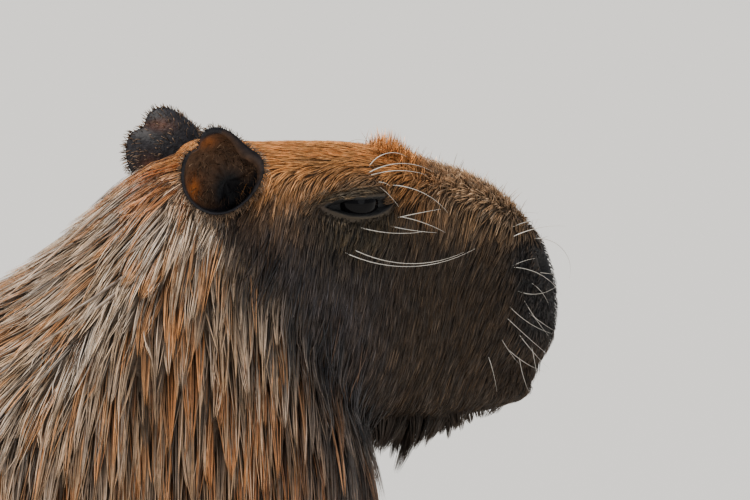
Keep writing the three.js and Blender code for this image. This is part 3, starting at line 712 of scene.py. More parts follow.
# %% Paths over the skin
def wander(p, scale, amount):
    """A smooth sideways drift of the lie, so that neighbours drift together."""
    w = np.zeros(p.shape)
    for i, (fx, fy, fz) in enumerate([(1, 1.7, 2.3), (2.1, 1.3, 0.9), (1.4, 2.6, 1.9)]):
        w[:, i] = (np.sin(p[:, 0] / scale * fx + i) + np.sin(p[:, 1] / scale * fy + 2 * i)
                   + np.sin(p[:, 2] / scale * fz))
    return w * amount / 3


SHARES = np.array([0.0, 0.36, 0.7, 1.0])    # the stops along a tuft
WIDTHS = np.array([0.85, 1.0, 0.72])        # its width at all but the last, where it is a point
ROOT_DEPTH = 1.2


def tuft_paths(roots, length, lift, steps=3, drift=0.22):
    """Points and normals along each tuft, from its root over the skin to its tip."""
    place, normal = nearest(roots)
    way = unit(lie(place) + wander(place, 34, drift) + rng.normal(0, 0.10, place.shape))
    path, ups = [place - normal * ROOT_DEPTH], [normal]
    walked = place
    for k in range(1, steps + 1):
        flow = unit(way - normal * np.sum(way * normal, axis=1, keepdims=True))
        walked = walked + flow * (length * (SHARES[k] - SHARES[k - 1]))[:, None]
        walked, normal = nearest(walked)
        path.append(walked + normal * (lift * SHARES[k] ** 0.8)[:, None])
        ups.append(normal)
        way = unit(way * 0.75 + unit(lie(walked)) * 0.25)
    return np.stack(path, axis=1), np.stack(ups, axis=1)


def gather(path, roots, leaders, pull):
    """Tufts lean towards the nearest leader's path, most at their tips."""
    tree = KDTree(leaders)
    for i in range(leaders):
        tree.insert(Vector(roots[i]), i)
    tree.balance()
    chief = np.array([tree.find(Vector(r))[1] for r in roots])
    share = (pull[:, None] * SHARES[None, :] ** 1.3)[:, :, None]
    return path + (path[chief] - path) * share, chief


print("stops along a tuft:", SHARES)

# %% A flat pattern of the skin
def unwrap(p):
    """A place on the skin as a place on its flat pattern: barrel and head, and each leg beside it."""
    x, y, z = p[:, 0], p[:, 1], p[:, 2]
    mid = np.where(x > 240, cheek_line(x), widest_line(x))
    around = np.arctan2(z - mid, np.abs(y) + 1e-6) / np.pi + 0.5
    u = 0.02 + 0.76 * (x - RUMP_X + 20) / (NOSE_X - RUMP_X + 40)
    v = 0.5 + np.sign(y) * 0.47 * around
    leg = z < 200
    fore = x > 0
    axis_x = np.where(fore, 250, -395)
    axis_y = np.where(fore, 88, 104) * np.sign(y)
    turn = np.arctan2(y - axis_y, x - axis_x) / (2 * np.pi) + 0.5
    leg_u = 0.80 + 0.18 * turn
    leg_v = 0.02 + 0.22 * np.clip(z, 0, 200) / 200 + 0.25 * (2 * fore + (y > 0))
    return np.stack([np.where(leg, leg_u, u), np.where(leg, leg_v, v)], axis=1)


print("the withers' place on the pattern:", unwrap(np.array([[WITHERS_X, 20.0, 560.0]]))[0].round(3))

# %% Tufts as meshes
PATCH = 0.003           # the side of a tuft's patch on the pattern


def tuft_mesh(name, path, ups, width, thick, colour, roots, tip_tint, root_shade=0.55):
    """One mesh of three-sided spears, with a colour at each vertex and a patch of the map for each."""
    count = len(path)
    along = np.diff(path, axis=1)
    along = np.concatenate([along, along[:, -1:]], axis=1)
    side = np.cross(along, ups)
    side /= np.maximum(np.linalg.norm(side, axis=2, keepdims=True), 1e-9)
    rings = []
    for k, share in enumerate(WIDTHS):
        half, high = (width * share)[:, None], (thick * share)[:, None]
        rings += [path[:, k] + side[:, k] * half, path[:, k] + ups[:, k] * high,
                  path[:, k] - side[:, k] * half]
    verts = np.stack([*rings, path[:, -1]], axis=1)
    per = verts.shape[1]
    faces = [(0, 1, 2)]
    for k in range(len(WIDTHS) - 1):
        for i in range(3):
            j = (i + 1) % 3
            faces.append((3 * k + i, 3 * k + 3 + i, 3 * k + 3 + j, 3 * k + j))
    last = 3 * (len(WIDTHS) - 1)
    faces += [(last + i, per - 1, last + (i + 1) % 3) for i in range(3)]
    sizes = [len(f) for f in faces]
    flat = np.concatenate([np.array(f) for f in faces])
    loops = (flat[None, :] + per * np.arange(count)[:, None]).ravel()
    starts = np.concatenate([[0], np.cumsum(sizes)[:-1]])
    mesh = bpy.data.meshes.new(name)
    mesh.vertices.add(count * per)
    mesh.vertices.foreach_set("co", (verts * MM).ravel())
    mesh.loops.add(len(loops))
    mesh.loops.foreach_set("vertex_index", loops)
    mesh.polygons.add(count * len(faces))
    mesh.polygons.foreach_set("loop_start", (starts[None, :] + len(flat) * np.arange(count)[:, None]).ravel())
    mesh.update(calc_edges=True)
    ring_share = np.concatenate([np.repeat(SHARES[:len(WIDTHS)], 3), [1.0]])
    # painted shade and light along each tuft: darker at the root, down in the coat's shade, and paler towards
    # the tip where light catches it
    shade = root_shade + (1 - root_shade) * ring_share[None, :, None]
    tint = colour[:, None, :] * (shade + (tip_tint[:, None, None] - 1) * ring_share[None, :, None] ** 2)
    paint(mesh, "hair", tint.reshape(-1, 3))
    patch = np.stack([np.concatenate([np.tile([0, 0.5, 1], len(WIDTHS)), [0.5]]), ring_share], axis=1) * PATCH
    uv = unwrap(roots)[:, None, :] + patch[None, :, :]
    layer = mesh.uv_layers.new(name="OFBake")
    layer.data.foreach_set("uv", uv.reshape(-1, 2)[loops].ravel())
    mesh.shade_smooth()
    mesh.materials.append(face_hair if "head" in name else wet_hair)
    made = bpy.data.objects.new(name, mesh)
    bpy.context.scene.collection.objects.link(made)
    triangles = count * sum(s - 2 for s in sizes)
    print(name, "tufts:", count, "triangles:", triangles)
    return made


print("a tuft has", 3 * len(WIDTHS) + 1, "points")

# %% [markdown]
# The head's hair is the finest and shortest, and grows shorter still towards the nose.
# Neck and shoulder carry the long wet locks that the light picks out, barrel and rump the
# same hair, coarser, and the legs a close one. One coat with one size of hair would be
# simpler and look like felt, so each kind has sizes that change with the place.

# %% Where hair grows and how a piece is made
def side_gap(p):
    """1 where hair grows, 0 on the bare rims of eye, nostril and ear."""
    nostril = ease(p, NOSTRIL, (7.5, 14, 11), 0.4)
    ear = (1 - smooth(20, 24, np.hypot(p[:, 0] - 256, p[:, 2] - 663))) * (np.abs(p[:, 1]) > EAR_SIDE)
    return np.clip(1 - 1.9 * nostril - ear, 0, 1) * (1 - smooth(-2.2, -1.2, slit_depth(p)))


EAR_SIDE = 20                       # millimetres off the middle, beyond which an ear can be
PALEST = 0.80                       # no hair is paler than this
WARM_LOCK = [1.15, 0.78, 0.48]      # how a rusty lock's colour differs from its neighbours'


def sized(size, p):
    """A size at each place, from one number or from a function of place."""
    return size(p) if callable(size) else np.full(len(p), float(size))


def grow(name, count, weight, length, lift, width, thick, leaders, pull, speckle, locks=0.7,
         root_shade=0.55, rusty=0):
    """One piece of the coat, whose hair may change in length, lift, width and pull over the body."""
    roots = spread(count, weight(centres))
    vary = rng.uniform(0.75, 1.25, count)
    lifted = sized(lift, roots) * rng.uniform(0.6, 1.4, count)
    path, ups = tuft_paths(roots, sized(length, roots) * vary, lifted)
    path, chief = gather(path, roots, leaders, sized(pull, roots))
    warm_lock = (rng.random(leaders) < rusty)[chief]
    colour = markings_and_painted_light(roots) * rng.lognormal(0, speckle, count)[:, None]
    colour = colour * np.where(warm_lock[:, None], WARM_LOCK, 1)
    lock_shade = rng.lognormal(0, speckle * locks, leaders)[chief]
    warmth = np.clip(rng.normal(0, 1, leaders), -1.6, 1.6)[chief]
    colour = colour * lock_shade[:, None] * (1 + warmth[:, None] * [0.06, 0, -0.09])
    colour = colour * np.minimum(1, PALEST / colour.max(axis=1))[:, None]
    tip = rng.uniform(0.9, 1.9, count)
    wide = sized(width, roots)
    return tuft_mesh(name, path, ups, wide * rng.uniform(0.8, 1.2, count), thick * wide, colour, roots,
                     tip, root_shade)


coat = []
print("palest hair:", PALEST)

# %% Hair of the head
HEAD_PIECES, NECK_PIECES, BODY_PIECES = 3, 2, 2


def head_length(p):
    x, z = p[:, 0], p[:, 2]
    top = smooth(-30, -8, z - crown_line(x))
    length = 24 + 3 * (1 - smooth(500, 540, z)) - 6 * top
    length = length * (1 - 0.68 * smooth(425, 492, x)) * (1 - 0.55 * nose_share(p))
    length = length * (1 - 0.5 * top * smooth(375, 400, x))
    near_eye = ease(p, (348, 52, 642), (34, 60, 20))
    return length * (1 - 0.82 * near_eye)


def head_lift(p):
    top = smooth(-24, -8, p[:, 2] - crown_line(p[:, 0])) * smooth(370, 400, p[:, 0])
    return 2.2 + 3.4 * top


for i in range(HEAD_PIECES):
    coat.append(grow(f"coat_head_{i + 1}", 12000, lambda p: head_share(p) * side_gap(p), head_length,
                     head_lift, width=0.46, thick=0.5, leaders=2600, pull=0.42, speckle=0.32))

# %% Hair of the neck, the trunk and the legs
def neck_share(p):
    front = smooth(-50, 110, p[:, 0] + 0.35 * (p[:, 2] - 560))
    behind = 1 - smooth(-5, 38, (p - HEAD_POINT) @ HEAD_NORMAL)
    return behind * front * smooth(235, 300, p[:, 2]) * side_gap(p)


for i in range(NECK_PIECES):
    coat.append(grow(f"coat_neck_{i + 1}", 12000, neck_share,
                     lambda p: 50 + 14 * (1 - smooth(450, 600, p[:, 2])), lift=8, width=0.46, thick=0.6,
                     leaders=2300, pull=0.86, speckle=0.45, locks=1.35, root_shade=0.12, rusty=0.3))


def body_share(p):
    body = (1 - head_share(p)) * (1 - neck_share(p)) * smooth(190, 240, p[:, 2])
    belly = 1 - 0.5 * (1 - smooth(205, 260, p[:, 2]))
    return body * belly


def leg_share(p):
    return (1 - smooth(200, 260, p[:, 2])) * (1 - head_share(p)) * smooth(2, 12, p[:, 2])


for i in range(BODY_PIECES):
    coat.append(grow(f"coat_body_{i + 1}", 9000, body_share, lambda p: 40 + 22 * smooth(250, 400, p[:, 2]),
                     lift=6.5, width=1.35, thick=0.5, leaders=1500, pull=0.62, speckle=0.34, locks=1.0,
                     root_shade=0.35))
coat.append(grow("coat_legs", 6000, leg_share, lambda p: 6 + 16 * smooth(50, 200, p[:, 2]), lift=1.8,
                 width=0.9, thick=0.45, leaders=1500, pull=0.4, speckle=0.22))

# %% [markdown]
# Some hair doesn't lie down. Wet hair under the jaw hangs clear in pointed tufts, and the
# bristles on top of the muzzle stand up, tallest between the brows. Walking over the skin
# would press them flat, so they take straight, free paths from their roots.

# %% Hair that hangs or stands free
LEADER_SCATTER = 0.16


def stand(name, count, weight, length, way, width, leaders, pull, speckle, bend, scatter):
    """A piece of free hair: each tuft leaves its root one way and bends a little as it goes."""
    roots = spread(count, weight(centres))
    chiefs = spread(leaders, weight(centres))
    reach_of = rng.uniform(0.6, 1.25, leaders)
    tree = KDTree(leaders)
    for i, chief in enumerate(chiefs):
        tree.insert(Vector(chief), i)
    tree.balance()
    chief = np.array([tree.find(Vector(root))[1] for root in roots])
    _, normal = nearest(roots)
    own_side = np.stack([np.ones(count), np.sign(roots[:, 1]), np.ones(count)], axis=1)
    chief_side = np.stack([np.ones(leaders), np.sign(chiefs[:, 1]), np.ones(leaders)], axis=1)
    aim_way = unit(way * own_side + rng.normal(0, scatter, (count, 3)) + 0.25 * normal)
    chief_way = unit(way * chief_side + rng.normal(0, LEADER_SCATTER, (leaders, 3)))
    reach = sized(length, roots) * reach_of[chief] * rng.uniform(0.6, 1.1, count)
    chief_reach = sized(length, chiefs) * reach_of
    bend = np.array(bend)
    path = []
    for share in SHARES:
        own = (roots - normal * 1.5 + aim_way * (reach * share)[:, None]
               + bend * (reach * share ** 2)[:, None])
        lead = (chiefs + chief_way * (chief_reach * share)[:, None]
                + bend * (chief_reach * share ** 2)[:, None])
        path.append(own + (lead[chief] - own) * pull * share ** 1.2)
    path = np.stack(path, axis=1)
    ups = np.repeat(normal[:, None], len(SHARES), axis=1)
    shade = rng.lognormal(0, speckle, count) * rng.lognormal(0, 0.2, leaders)[chief]
    colour = markings_and_painted_light(roots) * shade[:, None]
    return tuft_mesh(name, path, ups, width * rng.uniform(0.8, 1.2, count), np.full(count, width * 0.5),
                     colour, roots, rng.uniform(0.9, 1.8, count))


print("scatter of the leaders:", LEADER_SCATTER)

# %% Where free hair grows
BROW_TUFT = 382             # the tallest bristles stand here along the head



def chin_share(p):
    x, z = p[:, 0], p[:, 2]
    under = smooth(358, 372, x) * (1 - 0.8 * smooth(428, 444, x)) * (1 - smooth(455, 468, x))
    return under * (1 - smooth(4, 13, z - jaw_bottom(x)))


def chin_length(p):
    x = p[:, 0]
    return 15 + 17 * np.exp(-((x - 394) / 17) ** 2) - 8 * smooth(424, 442, x)


def bristle_share(p):
    x, z = p[:, 0], p[:, 2]
    tuft = 2.2 * np.exp(-((x - BROW_TUFT) / 11) ** 2) * (np.abs(p[:, 1]) < 22)
    return smooth(-30, -6, z - crown_line(x) + 12 * smooth(470, 500, x)) * (smooth(372, 396, x) + tuft)


def bristle_length(p):
    return 9.5 + 8.5 * np.exp(-((p[:, 0] - BROW_TUFT) / 11) ** 2) - 3.0 * smooth(470, 500, p[:, 0])


def lip_share(p):
    x, z = p[:, 0], p[:, 2]
    over = z - lip_line(x)
    return smooth(440, 460, x) * smooth(1, 4, over) * (1 - smooth(14, 22, over))


def ear_front(p):
    x, z = p[:, 0], p[:, 2]
    ring = np.hypot(x - 247, z - 669)
    band = smooth(31, 34, ring) * (1 - smooth(42, 47, ring))
    return band * smooth(247, 262, x - 0.5 * (z - 669)) * (np.abs(p[:, 1]) > EAR_SIDE)


def ear_front_length(p):
    return 20 - 6 * smooth(672, 700, p[:, 2])


print("tallest bristles at", BROW_TUFT)

# %% Grow the free hair
FREE_HAIR = [       # name, tufts, where, length, way, width, leaders, pull, speckle, bend, scatter
    ("coat_head_chin", 2600, chin_share, chin_length, [-0.12, 0, -1], 0.40, 70, 0.78, 0.3,
     (-0.12, 0, -0.05), 0.12),
    ("coat_head_bristles", 3200, bristle_share, bristle_length, [0.16, 0.1, 1], 0.27, 1400, 0.2, 0.6,
     (-0.14, 0, -0.03), 0.36),
    ("coat_head_long_bristles", 240, bristle_share, 15, [0.2, 0.1, 1], 0.2, 200, 0.1, 0.5,
     (0.1, 0, -0.1), 0.35),
    ("coat_head_lip", 700, lip_share, 13, [-0.1, 0.25, -1], 0.36, 220, 0.4, 0.3,
     (-0.25, -0.02, 0), 0.12),
    ("coat_head_ear_fringe", 1000, ear_front, ear_front_length, [-0.5, 0.65, -0.6], 0.34, 260, 0.45, 0.35,
     (-0.15, 0, -0.45), 0.12),
]
coat += [stand(*kind) for kind in FREE_HAIR]
print("coat pieces:", len(coat))

# %% [markdown]
# An ear is a cup of thin bare skin that faces sideways, notched at the back, with a front
# margin that rolls over. A bent disc could stand for it from one side only, so rings
# shrink from the rim down to the canal, once for the outside and once, a wall's
# thickness in, for the inside.

# %% An ear's rings
EAR = dict(x=245, y=66, z=671, long=28, high=27, depth=24, wall=1.9, canal_x=254, canal_z=663)
EAR_OUTLINE = [(2.36, 0.2, -0.15), (0.85, 0.45, -0.2), (1.82, 0.3, 0.09)]   # notch, front margin, peak
EAR_AROUND, OUTER_RINGS, INNER_RINGS = 96, 20, 22
EAR_ANGLES = np.linspace(0, 2 * np.pi, EAR_AROUND, endpoint=False)


def ear_ring(side, t, thick, angle=EAR_ANGLES):
    """A ring of the cup: t is 0 at the rim and 1 at the canal."""
    fade = np.exp(-2.5 * t)
    share = 1 + fade * sum(by * np.exp(-((angle - at) / width) ** 2) for at, width, by in EAR_OUTLINE)
    open_, deep = np.cos(t * math.pi / 2), np.sin(t * math.pi / 2)
    front = np.exp(-((angle - 0.7) / 0.75) ** 2) + np.exp(-((angle - 0.7 - 2 * np.pi) / 0.75) ** 2)
    curl = front * np.exp(-((t / 0.13) ** 2)) * (thick == 0)
    reach = open_ * (1 + thick / EAR["long"]) * share * (1 - 0.30 * curl)
    low = np.where(np.sin(angle) < 0, 5 * np.sin(angle) ** 2, 0)
    ripple = 0.5 * np.sin(angle * 9 + t * 7) * np.sin(t * math.pi) * (thick == 0)
    rim_y = 3.5 * np.cos(2 * angle) + 3 * np.sin(angle) - low * np.sin(angle)
    rim_y = rim_y - 12 * np.maximum(0, np.cos(angle + 0.7)) ** 2
    rear_fold = 3.2 * np.exp(-((angle - 2.2) / 0.35) ** 2) * np.sin(np.minimum(1, t * 1.6) * math.pi)
    out = rim_y * open_ + 2.4 * curl + ripple + rear_fold * (thick == 0)
    return np.stack([EAR["x"] + (EAR["canal_x"] - EAR["x"]) * deep + EAR["long"] * np.cos(angle) * reach,
                     side * (EAR["y"] + out - (EAR["depth"] + thick) * deep),
                     EAR["z"] + (EAR["canal_z"] - EAR["z"]) * deep + EAR["high"] * np.sin(angle) * reach],
                    axis=1)


print("ear's rim, millimetres:", 2 * EAR["long"], "by", 2 * EAR["high"])

# %% Ears
ear_material, nodes, links, shader = new_material("ear_skin", 0.6, Specular_IOR_Level=0.2)
tinted_by("markings_and_painted_light", nodes, links, shader, add_noise(nodes, links, 190, 5), 0.1, 1.9)
add_bump(nodes, links, shader, add_noise(nodes, links, 420, 4).outputs["Fac"], 0.5, 0.0014)
# painted light: the orange of the sun shining through the thin ear
EAR_GLOW = np.array([0.30, 0.082, 0.012])
EAR_BROWN = np.array([0.075, 0.038, 0.020])
EAR_DARK = np.array([0.016, 0.015, 0.018])


def spot(p, x, z, long, high):
    """1 at a place in the side view, falling to 0 about two radii away."""
    return np.exp(-((p[:, 0] - x) / long) ** 2 - ((p[:, 2] - z) / high) ** 2)


for name, side in (("ear_right", -1), ("ear_left", 1)):
    outer = [ear_ring(side, t, EAR["wall"]) for t in np.linspace(0.9, 0.0, OUTER_RINGS)]
    inner = [ear_ring(side, t, 0) for t in np.linspace(0.01, 0.92, INNER_RINGS)]
    tips = [np.array([EAR["canal_x"], side * (EAR["y"] - EAR["depth"] - wall), EAR["canal_z"]])
            for wall in (EAR["wall"], 0)]
    ear = make_object(name + "_cup", loft(outer + inner, tips), ear_material)
    p, _ = skin_arrays(ear)
    inside = np.zeros(len(p))
    inside[1 + OUTER_RINGS * EAR_AROUND:] = 1
    out = np.hypot((p[:, 0] - EAR["x"]) / EAR["long"], (p[:, 2] - EAR["z"]) / EAR["high"])
    colour = blend(EAR_DARK, EAR_BROWN, inside * (1 - smooth(0.92, 1.0, out)))
    # painted light: a glow where the sun shines through the ear, full inside the cup and weaker on its back
    glow = 0.9 * spot(p, 228, 660, 6, 8) + 0.55 * spot(p, 236, 691, 8, 4)
    through = inside + 0.35 * (1 - inside)
    colour = blend(colour, EAR_GLOW, np.clip(through * glow, 0, 1) * (1 - smooth(0.92, 1.02, out)))
    # painted shade: the inside of the cup darkened towards the canal
    canal = spot(p, 257, 655, 13, 16)
    colour = blend(colour, 0.3 * EAR_DARK, np.clip(inside * canal * 1.5, 0, 1))
    paint(ear.data, "markings_and_painted_light", colour)
    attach(ear, "root")
    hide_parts(name)
    print(ear.name, "faces:", len(ear.data.polygons))

# %% [markdown]
# An ear's skin is nearly bare: a fringe along the rim, sparse hair on the back, and longer
# wisps from inside the cup. Roots could be scattered over the ear's mesh, but the rings
# already say where rim and canal are, so each hair starts from a ring at a random angle.

# %% Hair on the ears
EAR_HAIR = [        # from and to down the cup, wall, hairs, length, lean outwards
    (0.0, 0.03, EAR["wall"], 420, 4.6, 0.3),
    (0.05, 0.6, EAR["wall"], 420, 4.2, 0.1),
    (0.3, 0.5, 0, 120, 8.0, 0.6),
    (0.5, 0.75, 0, 110, 11.0, 0.8),
]
EAR_HAIR_COLOUR, EAR_HAIR_WIDTH = np.array([0.16, 0.10, 0.06]), 0.24


def ear_hair(name, side):
    """Fine hair on one ear: along the rim, over its back, and longer from inside the cup."""
    roots, ways, lengths = [], [], []
    for low, high, thick, count, reach, out in EAR_HAIR:
        angle = rng.uniform(0, 2 * np.pi, count)
        root = ear_ring(side, rng.uniform(low, high, count), thick, angle)
        radial = np.stack([np.cos(angle), np.zeros(count), np.sin(angle)], axis=1)
        way = radial * (1 if thick else 0.2) + [-0.2, side * out, -0.35 if not thick else 0]
        roots.append(root)
        ways.append(unit(way + rng.normal(0, 0.28, (count, 3))))
        lengths.append(reach * rng.uniform(0.4, 1.3, count))
    roots, ways, lengths = np.concatenate(roots), np.concatenate(ways), np.concatenate(lengths)
    droop = np.array([0, 0, -0.18])
    path = np.stack([roots + ways * (lengths * share)[:, None] + droop * (lengths * share ** 2)[:, None]
                     for share in SHARES], axis=1)
    ups = np.repeat(unit(np.cross(ways, [0.3, 0.2, 1]))[:, None], len(SHARES), axis=1)
    colour = EAR_HAIR_COLOUR * rng.lognormal(0, 0.5, len(roots))[:, None]
    width = np.full(len(roots), EAR_HAIR_WIDTH)
    return tuft_mesh(name, path, ups, width, width * 0.6, np.clip(colour, 0, PALEST), roots,
                     rng.uniform(1, 2.4, len(roots)))


for side_name, side in (("right", -1), ("left", 1)):
    coat.append(ear_hair(f"coat_head_ear_{side_name}", side))

# %% [markdown]
# A capybara's eye is nearly black and wet, and its lids leave only a low opening. Lids
# could be bands laid on the ball, but they would show an edge of their own. Here the lids
# belong to the skin, whose opening was sunk with the folds, so the eye is one glossy ball
# that shows through it.

# %% Eyes
eye_material, nodes, links, shader = new_material("eye", 0.08, Specular_IOR_Level=0.1)
shader.inputs["Base Color"].default_value = (0.004, 0.0035, 0.004, 1)
for name, side in (("eye_right", -1), ("eye_left", 1)):
    r = EYE["radius"]
    form = ball((EYE["x"], side * EYE["y"], EYE["z"]), (r, r, r), 64, 40)
    globe = make_object(name + "_ball", form, eye_material)
    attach(globe, "root")
    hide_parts(name)
print("eyes set at", EYE)

# %% [markdown]
# Whiskers are long white hairs that bend as they go. Each could be a curve with its own
# bevel, and sixty of them would be hard to change. Each is a row of points instead, which
# leaves the skin at one angle and ends at another, and one node tree turns every row into
# a tapered round hair, so that their thickness is set in one place.

# %% Where the whiskers stand
WHISKERS = {     # root x and z, length, angle at the root and at the tip in degrees, in the side view
    "brow": [
        (353, 663, 48, 38, -32), (354, 662, 41, 22, -20), (357, 667, 31, 70, -36), (371, 655, 45, 0, -52),
        (350, 662, 32, -26, -56), (347, 659, 17, -142, -96), (329, 656, 11, -50, -60),
        (358, 658, 11, 14, -40), (342, 630, 47, -18, 8), (372, 635, 37, -8, -30), (371, 633, 33, 16, 8),
        (366, 629, 34, -14, -4), (331, 614, 94, -28, 28), (337, 616, 80, -30, 24), (457, 615, 41, 32, -6),
        (478, 613, 43, 10, -108),
    ],
    "lip": [
        (488, 624, 18, 36, 6), (460, 622, 24, 28, 0), (457, 596, 42, 2, -62), (478, 591, 14, -5, -10),
        (459, 581, 31, -30, 38), (464, 577, 34, -66, -50), (453, 572, 38, -54, -18),
        (450, 565, 45, -48, -40), (461, 552, 34, -58, -44), (453, 542, 34, -50, -18),
        (472, 544, 31, -82, -86), (464, 536, 30, -92, -64), (439, 540, 29, -72, -84),
        (468, 566, 24, -44, -30), (470, 586, 22, -30, -70), (447, 552, 26, -66, -50),
    ],
}
WHISKER_RADIUS = {"brow": 0.00036, "lip": 0.00025}
WHISKER_STEPS, WHISKER_SIDES, SPLAY = 14, 6, 0.42
print("whiskers on each side:", sum(len(rows) for rows in WHISKERS.values()))

# %% A node tree for tapered hairs
TIP_SHARE = 0.14        # a hair's radius at its tip, as a share of its root's


def hair_tree(material):
    """A node tree that gives every edge path a tapered round section."""
    tree = bpy.data.node_groups.new("tapered_hair", "GeometryNodeTree")
    for label, kind in (("Paths", "NodeSocketGeometry"), ("Root radius", "NodeSocketFloat"),
                        ("Sides", "NodeSocketInt")):
        tree.interface.new_socket(name=label, in_out="INPUT", socket_type=kind)
    tree.interface.new_socket(name="Hair", in_out="OUTPUT", socket_type="NodeSocketGeometry")
    add, join = tree.nodes.new, tree.links.new
    given, result = add("NodeGroupInput"), add("NodeGroupOutput")
    paths, along = add("GeometryNodeMeshToCurve"), add("GeometryNodeSplineParameter")
    taper = add("ShaderNodeMapRange")
    join(along.outputs["Factor"], taper.inputs["Value"])
    join(given.outputs["Root radius"], taper.inputs["To Min"])
    tip = add("ShaderNodeMath")
    tip.operation = "MULTIPLY"
    join(given.outputs["Root radius"], tip.inputs[0])
    tip.inputs[1].default_value = TIP_SHARE
    join(tip.outputs[0], taper.inputs["To Max"])
    ring = add("GeometryNodeCurvePrimitiveCircle")
    ring.inputs["Radius"].default_value = 1.0
    sweep = add("GeometryNodeCurveToMesh")
    sweep.inputs["Fill Caps"].default_value = True
    whole, dressed = add("GeometryNodeRealizeInstances"), add("GeometryNodeSetMaterial")
    dressed.inputs["Material"].default_value = material
    join(given.outputs["Paths"], paths.inputs["Mesh"])
    join(taper.outputs["Result"], sweep.inputs["Scale"])
    join(given.outputs["Sides"], ring.inputs["Resolution"])
    join(paths.outputs["Curve"], sweep.inputs["Curve"])
    join(ring.outputs["Curve"], sweep.inputs["Profile Curve"])
    join(sweep.outputs["Mesh"], whole.inputs["Geometry"])
    join(whole.outputs["Geometry"], dressed.inputs["Geometry"])
    join(dressed.outputs["Geometry"], result.inputs["Hair"])
    return tree


whisker_material = toned("whisker", 0.35, 90, 2, (0.62, 0.54, 0.44), (0.92, 0.88, 0.80))[0]
hair_paths = hair_tree(whisker_material)
print("nodes in the tree:", len(hair_paths.nodes))

# %% Whiskers
def whisker_path(x, z, length, start, end, side):
    """Points in millimetres from the skin outwards, which turn from one angle to the other."""
    start_at = Vector((x * MM, side * 0.2, z * MM))
    hit = skin_tree.ray_cast(start_at, Vector((0, -side, 0)))[0] or skin_tree.find_nearest(start_at)[0]
    at = np.array(hit) / MM
    at[1] -= side * 1.5
    path = [at]
    splay = SPLAY * rng.uniform(0.7, 1.3)
    for k in range(WHISKER_STEPS):
        share = (k + 0.5) / WHISKER_STEPS
        angle = math.radians(start + (end - start) * share)
        out = splay * (1 - 0.8 * share)
        way = np.array([math.cos(angle) * math.cos(out), side * math.sin(out),
                        math.sin(angle) * math.cos(out)])
        path.append(path[-1] + way * length / WHISKER_STEPS)
    return path


for name, side, kind in [(f"whiskers_{kind}_{flank}", side, kind) for kind in WHISKERS
                         for flank, side in (("right", -1), ("left", 1))]:
    points_of, edges_of = [], []
    for x, z, length, start, end in WHISKERS[kind]:
        jitter = rng.normal(0, 1, 3) * (side > 0)
        path = whisker_path(x + 2 * jitter[0], z, length * (1 + 0.08 * jitter[1]), start,
                            end + 6 * jitter[2], side)
        edges_of += [(len(points_of) + k, len(points_of) + k + 1) for k in range(len(path) - 1)]
        points_of += path
    mesh = bpy.data.meshes.new(name)
    mesh.from_pydata((np.array(points_of) * MM).tolist(), edges_of, [])
    whiskers = bpy.data.objects.new(name, mesh)
    bpy.context.scene.collection.objects.link(whiskers)
    sweep = whiskers.modifiers.new("sweep", "NODES")
    sweep.node_group = hair_paths
    inputs = {item.name: item.identifier for item in hair_paths.interface.items_tree
              if item.in_out == "INPUT"}
    sweep[inputs["Root radius"]] = WHISKER_RADIUS[kind]
    sweep[inputs["Sides"]] = WHISKER_SIDES
    apply_modifiers(whiskers)
    whiskers.data.shade_smooth()
    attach(whiskers, "root")
    print(name, "faces:", len(whiskers.data.polygons))

# %% [markdown]
# The claws are blunt and dark, almost small hooves. Cones would be too sharp, so each is a
# short limb that flattens towards its tip, in line with its toe, and the horn's colour
# runs in fine streaks along it.

# %% Claws
claw_material, nodes, links, shader, horn = toned("claw", 0.38, 120, 4, (0.012, 0.010, 0.009),
                                                  (0.075, 0.058, 0.045), (0.3, 1, 1))
add_bump(nodes, links, shader, horn.outputs["Fac"], 0.3, 0.0006)
for name, (side, step) in LEGS.items():
    side_name, pair = name.split("_")
    foot = FORE_FOOT if pair == "fore" else HIND_FOOT
    forms = [claw_form(foot, side, step, i) for i in range(foot["toes"])]
    claws = make_object(f"{pair}claws_{side_name}", join_forms(forms), claw_material)
    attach(claws, "root")
    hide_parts(*[f"{pair}claw_{side_name}_{i + 1}" for i in range(foot["toes"])])
    print(claws.name, "faces:", len(claws.data.polygons))

# %% [markdown]
# The solids of flesh are plain forms for weight and contact. The one skin takes the place
# of them all, and the coat rides with it on the same rigid body.

# %% The skin and the coat take the place of the flesh
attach(skin, "root")
flesh = ["head", "neck", "torso", "rump", "tail"]
flesh += [f"{pair}{part}_{side}" for pair in ("fore", "hind") for part in ("leg", "foot")
          for side in ("right", "left")]
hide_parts(*flesh)
for piece in coat:
    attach(piece, "root")
print("solids replaced by the skin:", len(flesh), "coat pieces:", len(coat))

# %% [markdown]
# The sun stands above and a little behind the animal, so its back is bright and its cheek
# in shade. A small lamp would throw hard shadows off every lock, so the key is a sun with
# a wide disc, and a weak broad light fills the near side. The floor is one pale plane,
# large enough for any view.

# %% Floor and lights
FLOOR_HALF = 90000
floor_material, nodes, links, shader = new_material("floor", 0.8)
shader.inputs["Base Color"].default_value = (0.72, 0.71, 0.69, 1)
floor_corners = [(x * FLOOR_HALF, y * FLOOR_HALF, 0) for x, y in ((-1, -1), (1, -1), (1, 1), (-1, 1))]
floor = make_object("floor", (floor_corners, [(0, 1, 2, 3)]), floor_material)
world = bpy.data.worlds.new("studio")
world.use_nodes = True
sky = world.node_tree.nodes["Background"]
sky.inputs["Color"].default_value = (0.80, 0.86, 0.95, 1)
sky.inputs["Strength"].default_value = 0.5
bpy.context.scene.world = world


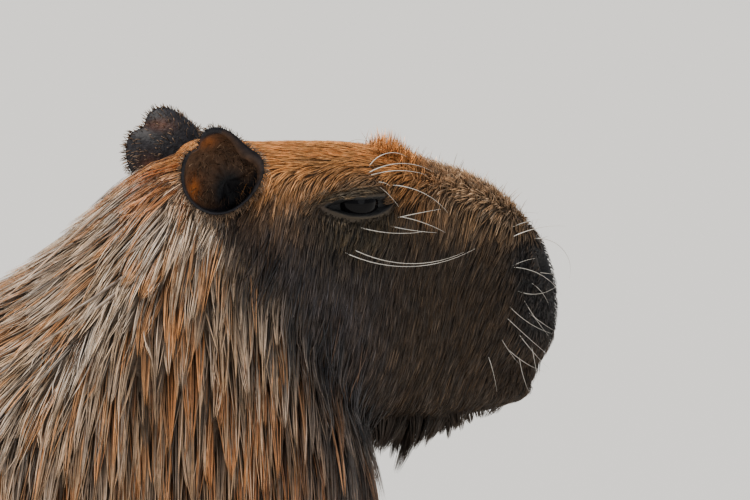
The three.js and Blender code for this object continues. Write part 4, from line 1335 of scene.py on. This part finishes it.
def add_light(name, place, target, size, power, colour):
    data = bpy.data.lights.new(name, "AREA")
    data.shape, data.size, data.energy, data.color = "DISK", size, power, colour
    lamp = bpy.data.objects.new(name, data)
    lamp.location = place
    lamp.rotation_euler = (Vector(target) - Vector(place)).to_track_quat("-Z", "Y").to_euler()
    bpy.context.scene.collection.objects.link(lamp)


sun_data = bpy.data.lights.new("key", "SUN")
sun_data.energy, sun_data.angle, sun_data.color = 5.2, math.radians(6), (1.0, 0.95, 0.87)
sun = bpy.data.objects.new("key", sun_data)
sun.rotation_euler = Vector((0.50, -0.24, -0.90)).to_track_quat("-Z", "Y").to_euler()
bpy.context.scene.collection.objects.link(sun)
add_light("fill", (0.9, -3.2, 1.5), (0.25, 0, 0.5), 2.2, 16, (0.96, 0.98, 1.0))
print("lights:", sun.name, sun_data.energy)

# %% [markdown]
# The photograph looks taken from far off with a long lens, on the animal's right side
# and a little behind it. The camera's aim could be found by trial, but two points known in
# both the picture and the model, the nose and the crown, place it exactly.

# %% Camera
VIEW_TURN, VIEW_RISE = math.radians(-17), math.radians(7)
PIXEL = 0.68                   # millimetres of the animal that one pixel of the frame covers
FRAME_WIDTH, FRAME_HEIGHT = 750, 500
NOSE_PIXEL, CROWN_PIXEL = 556, 139.5       # the nose's column and the crown's row in the frame
right = np.array([math.cos(VIEW_TURN), math.sin(VIEW_TURN), 0])
back = np.array([math.sin(VIEW_TURN) * math.cos(VIEW_RISE), -math.cos(VIEW_TURN) * math.cos(VIEW_RISE),
                 math.sin(VIEW_RISE)])
up = np.cross(back, right)
aim_right = right @ [NOSE_X, 0, 560] + (FRAME_WIDTH / 2 - NOSE_PIXEL) * PIXEL
aim_up = up @ [300, 0, 685] - (FRAME_HEIGHT / 2 - CROWN_PIXEL) * PIXEL
aim = right * aim_right + up * aim_up + back * (back @ [380, 0, 580])
LENS, SENSOR = 400, 36
distance = LENS * FRAME_WIDTH * PIXEL / SENSOR
camera_data = bpy.data.cameras.new("camera")
camera_data.lens, camera_data.sensor_width, camera_data.clip_end = LENS, SENSOR, 200
camera = bpy.data.objects.new("camera", camera_data)
camera.location = (aim + back * distance) * MM
camera.rotation_euler = Vector(-back).to_track_quat("-Z", "Y").to_euler()
bpy.context.scene.collection.objects.link(camera)
bpy.context.scene.camera = camera
print("camera", [round(float(v), 3) for v in camera.location])
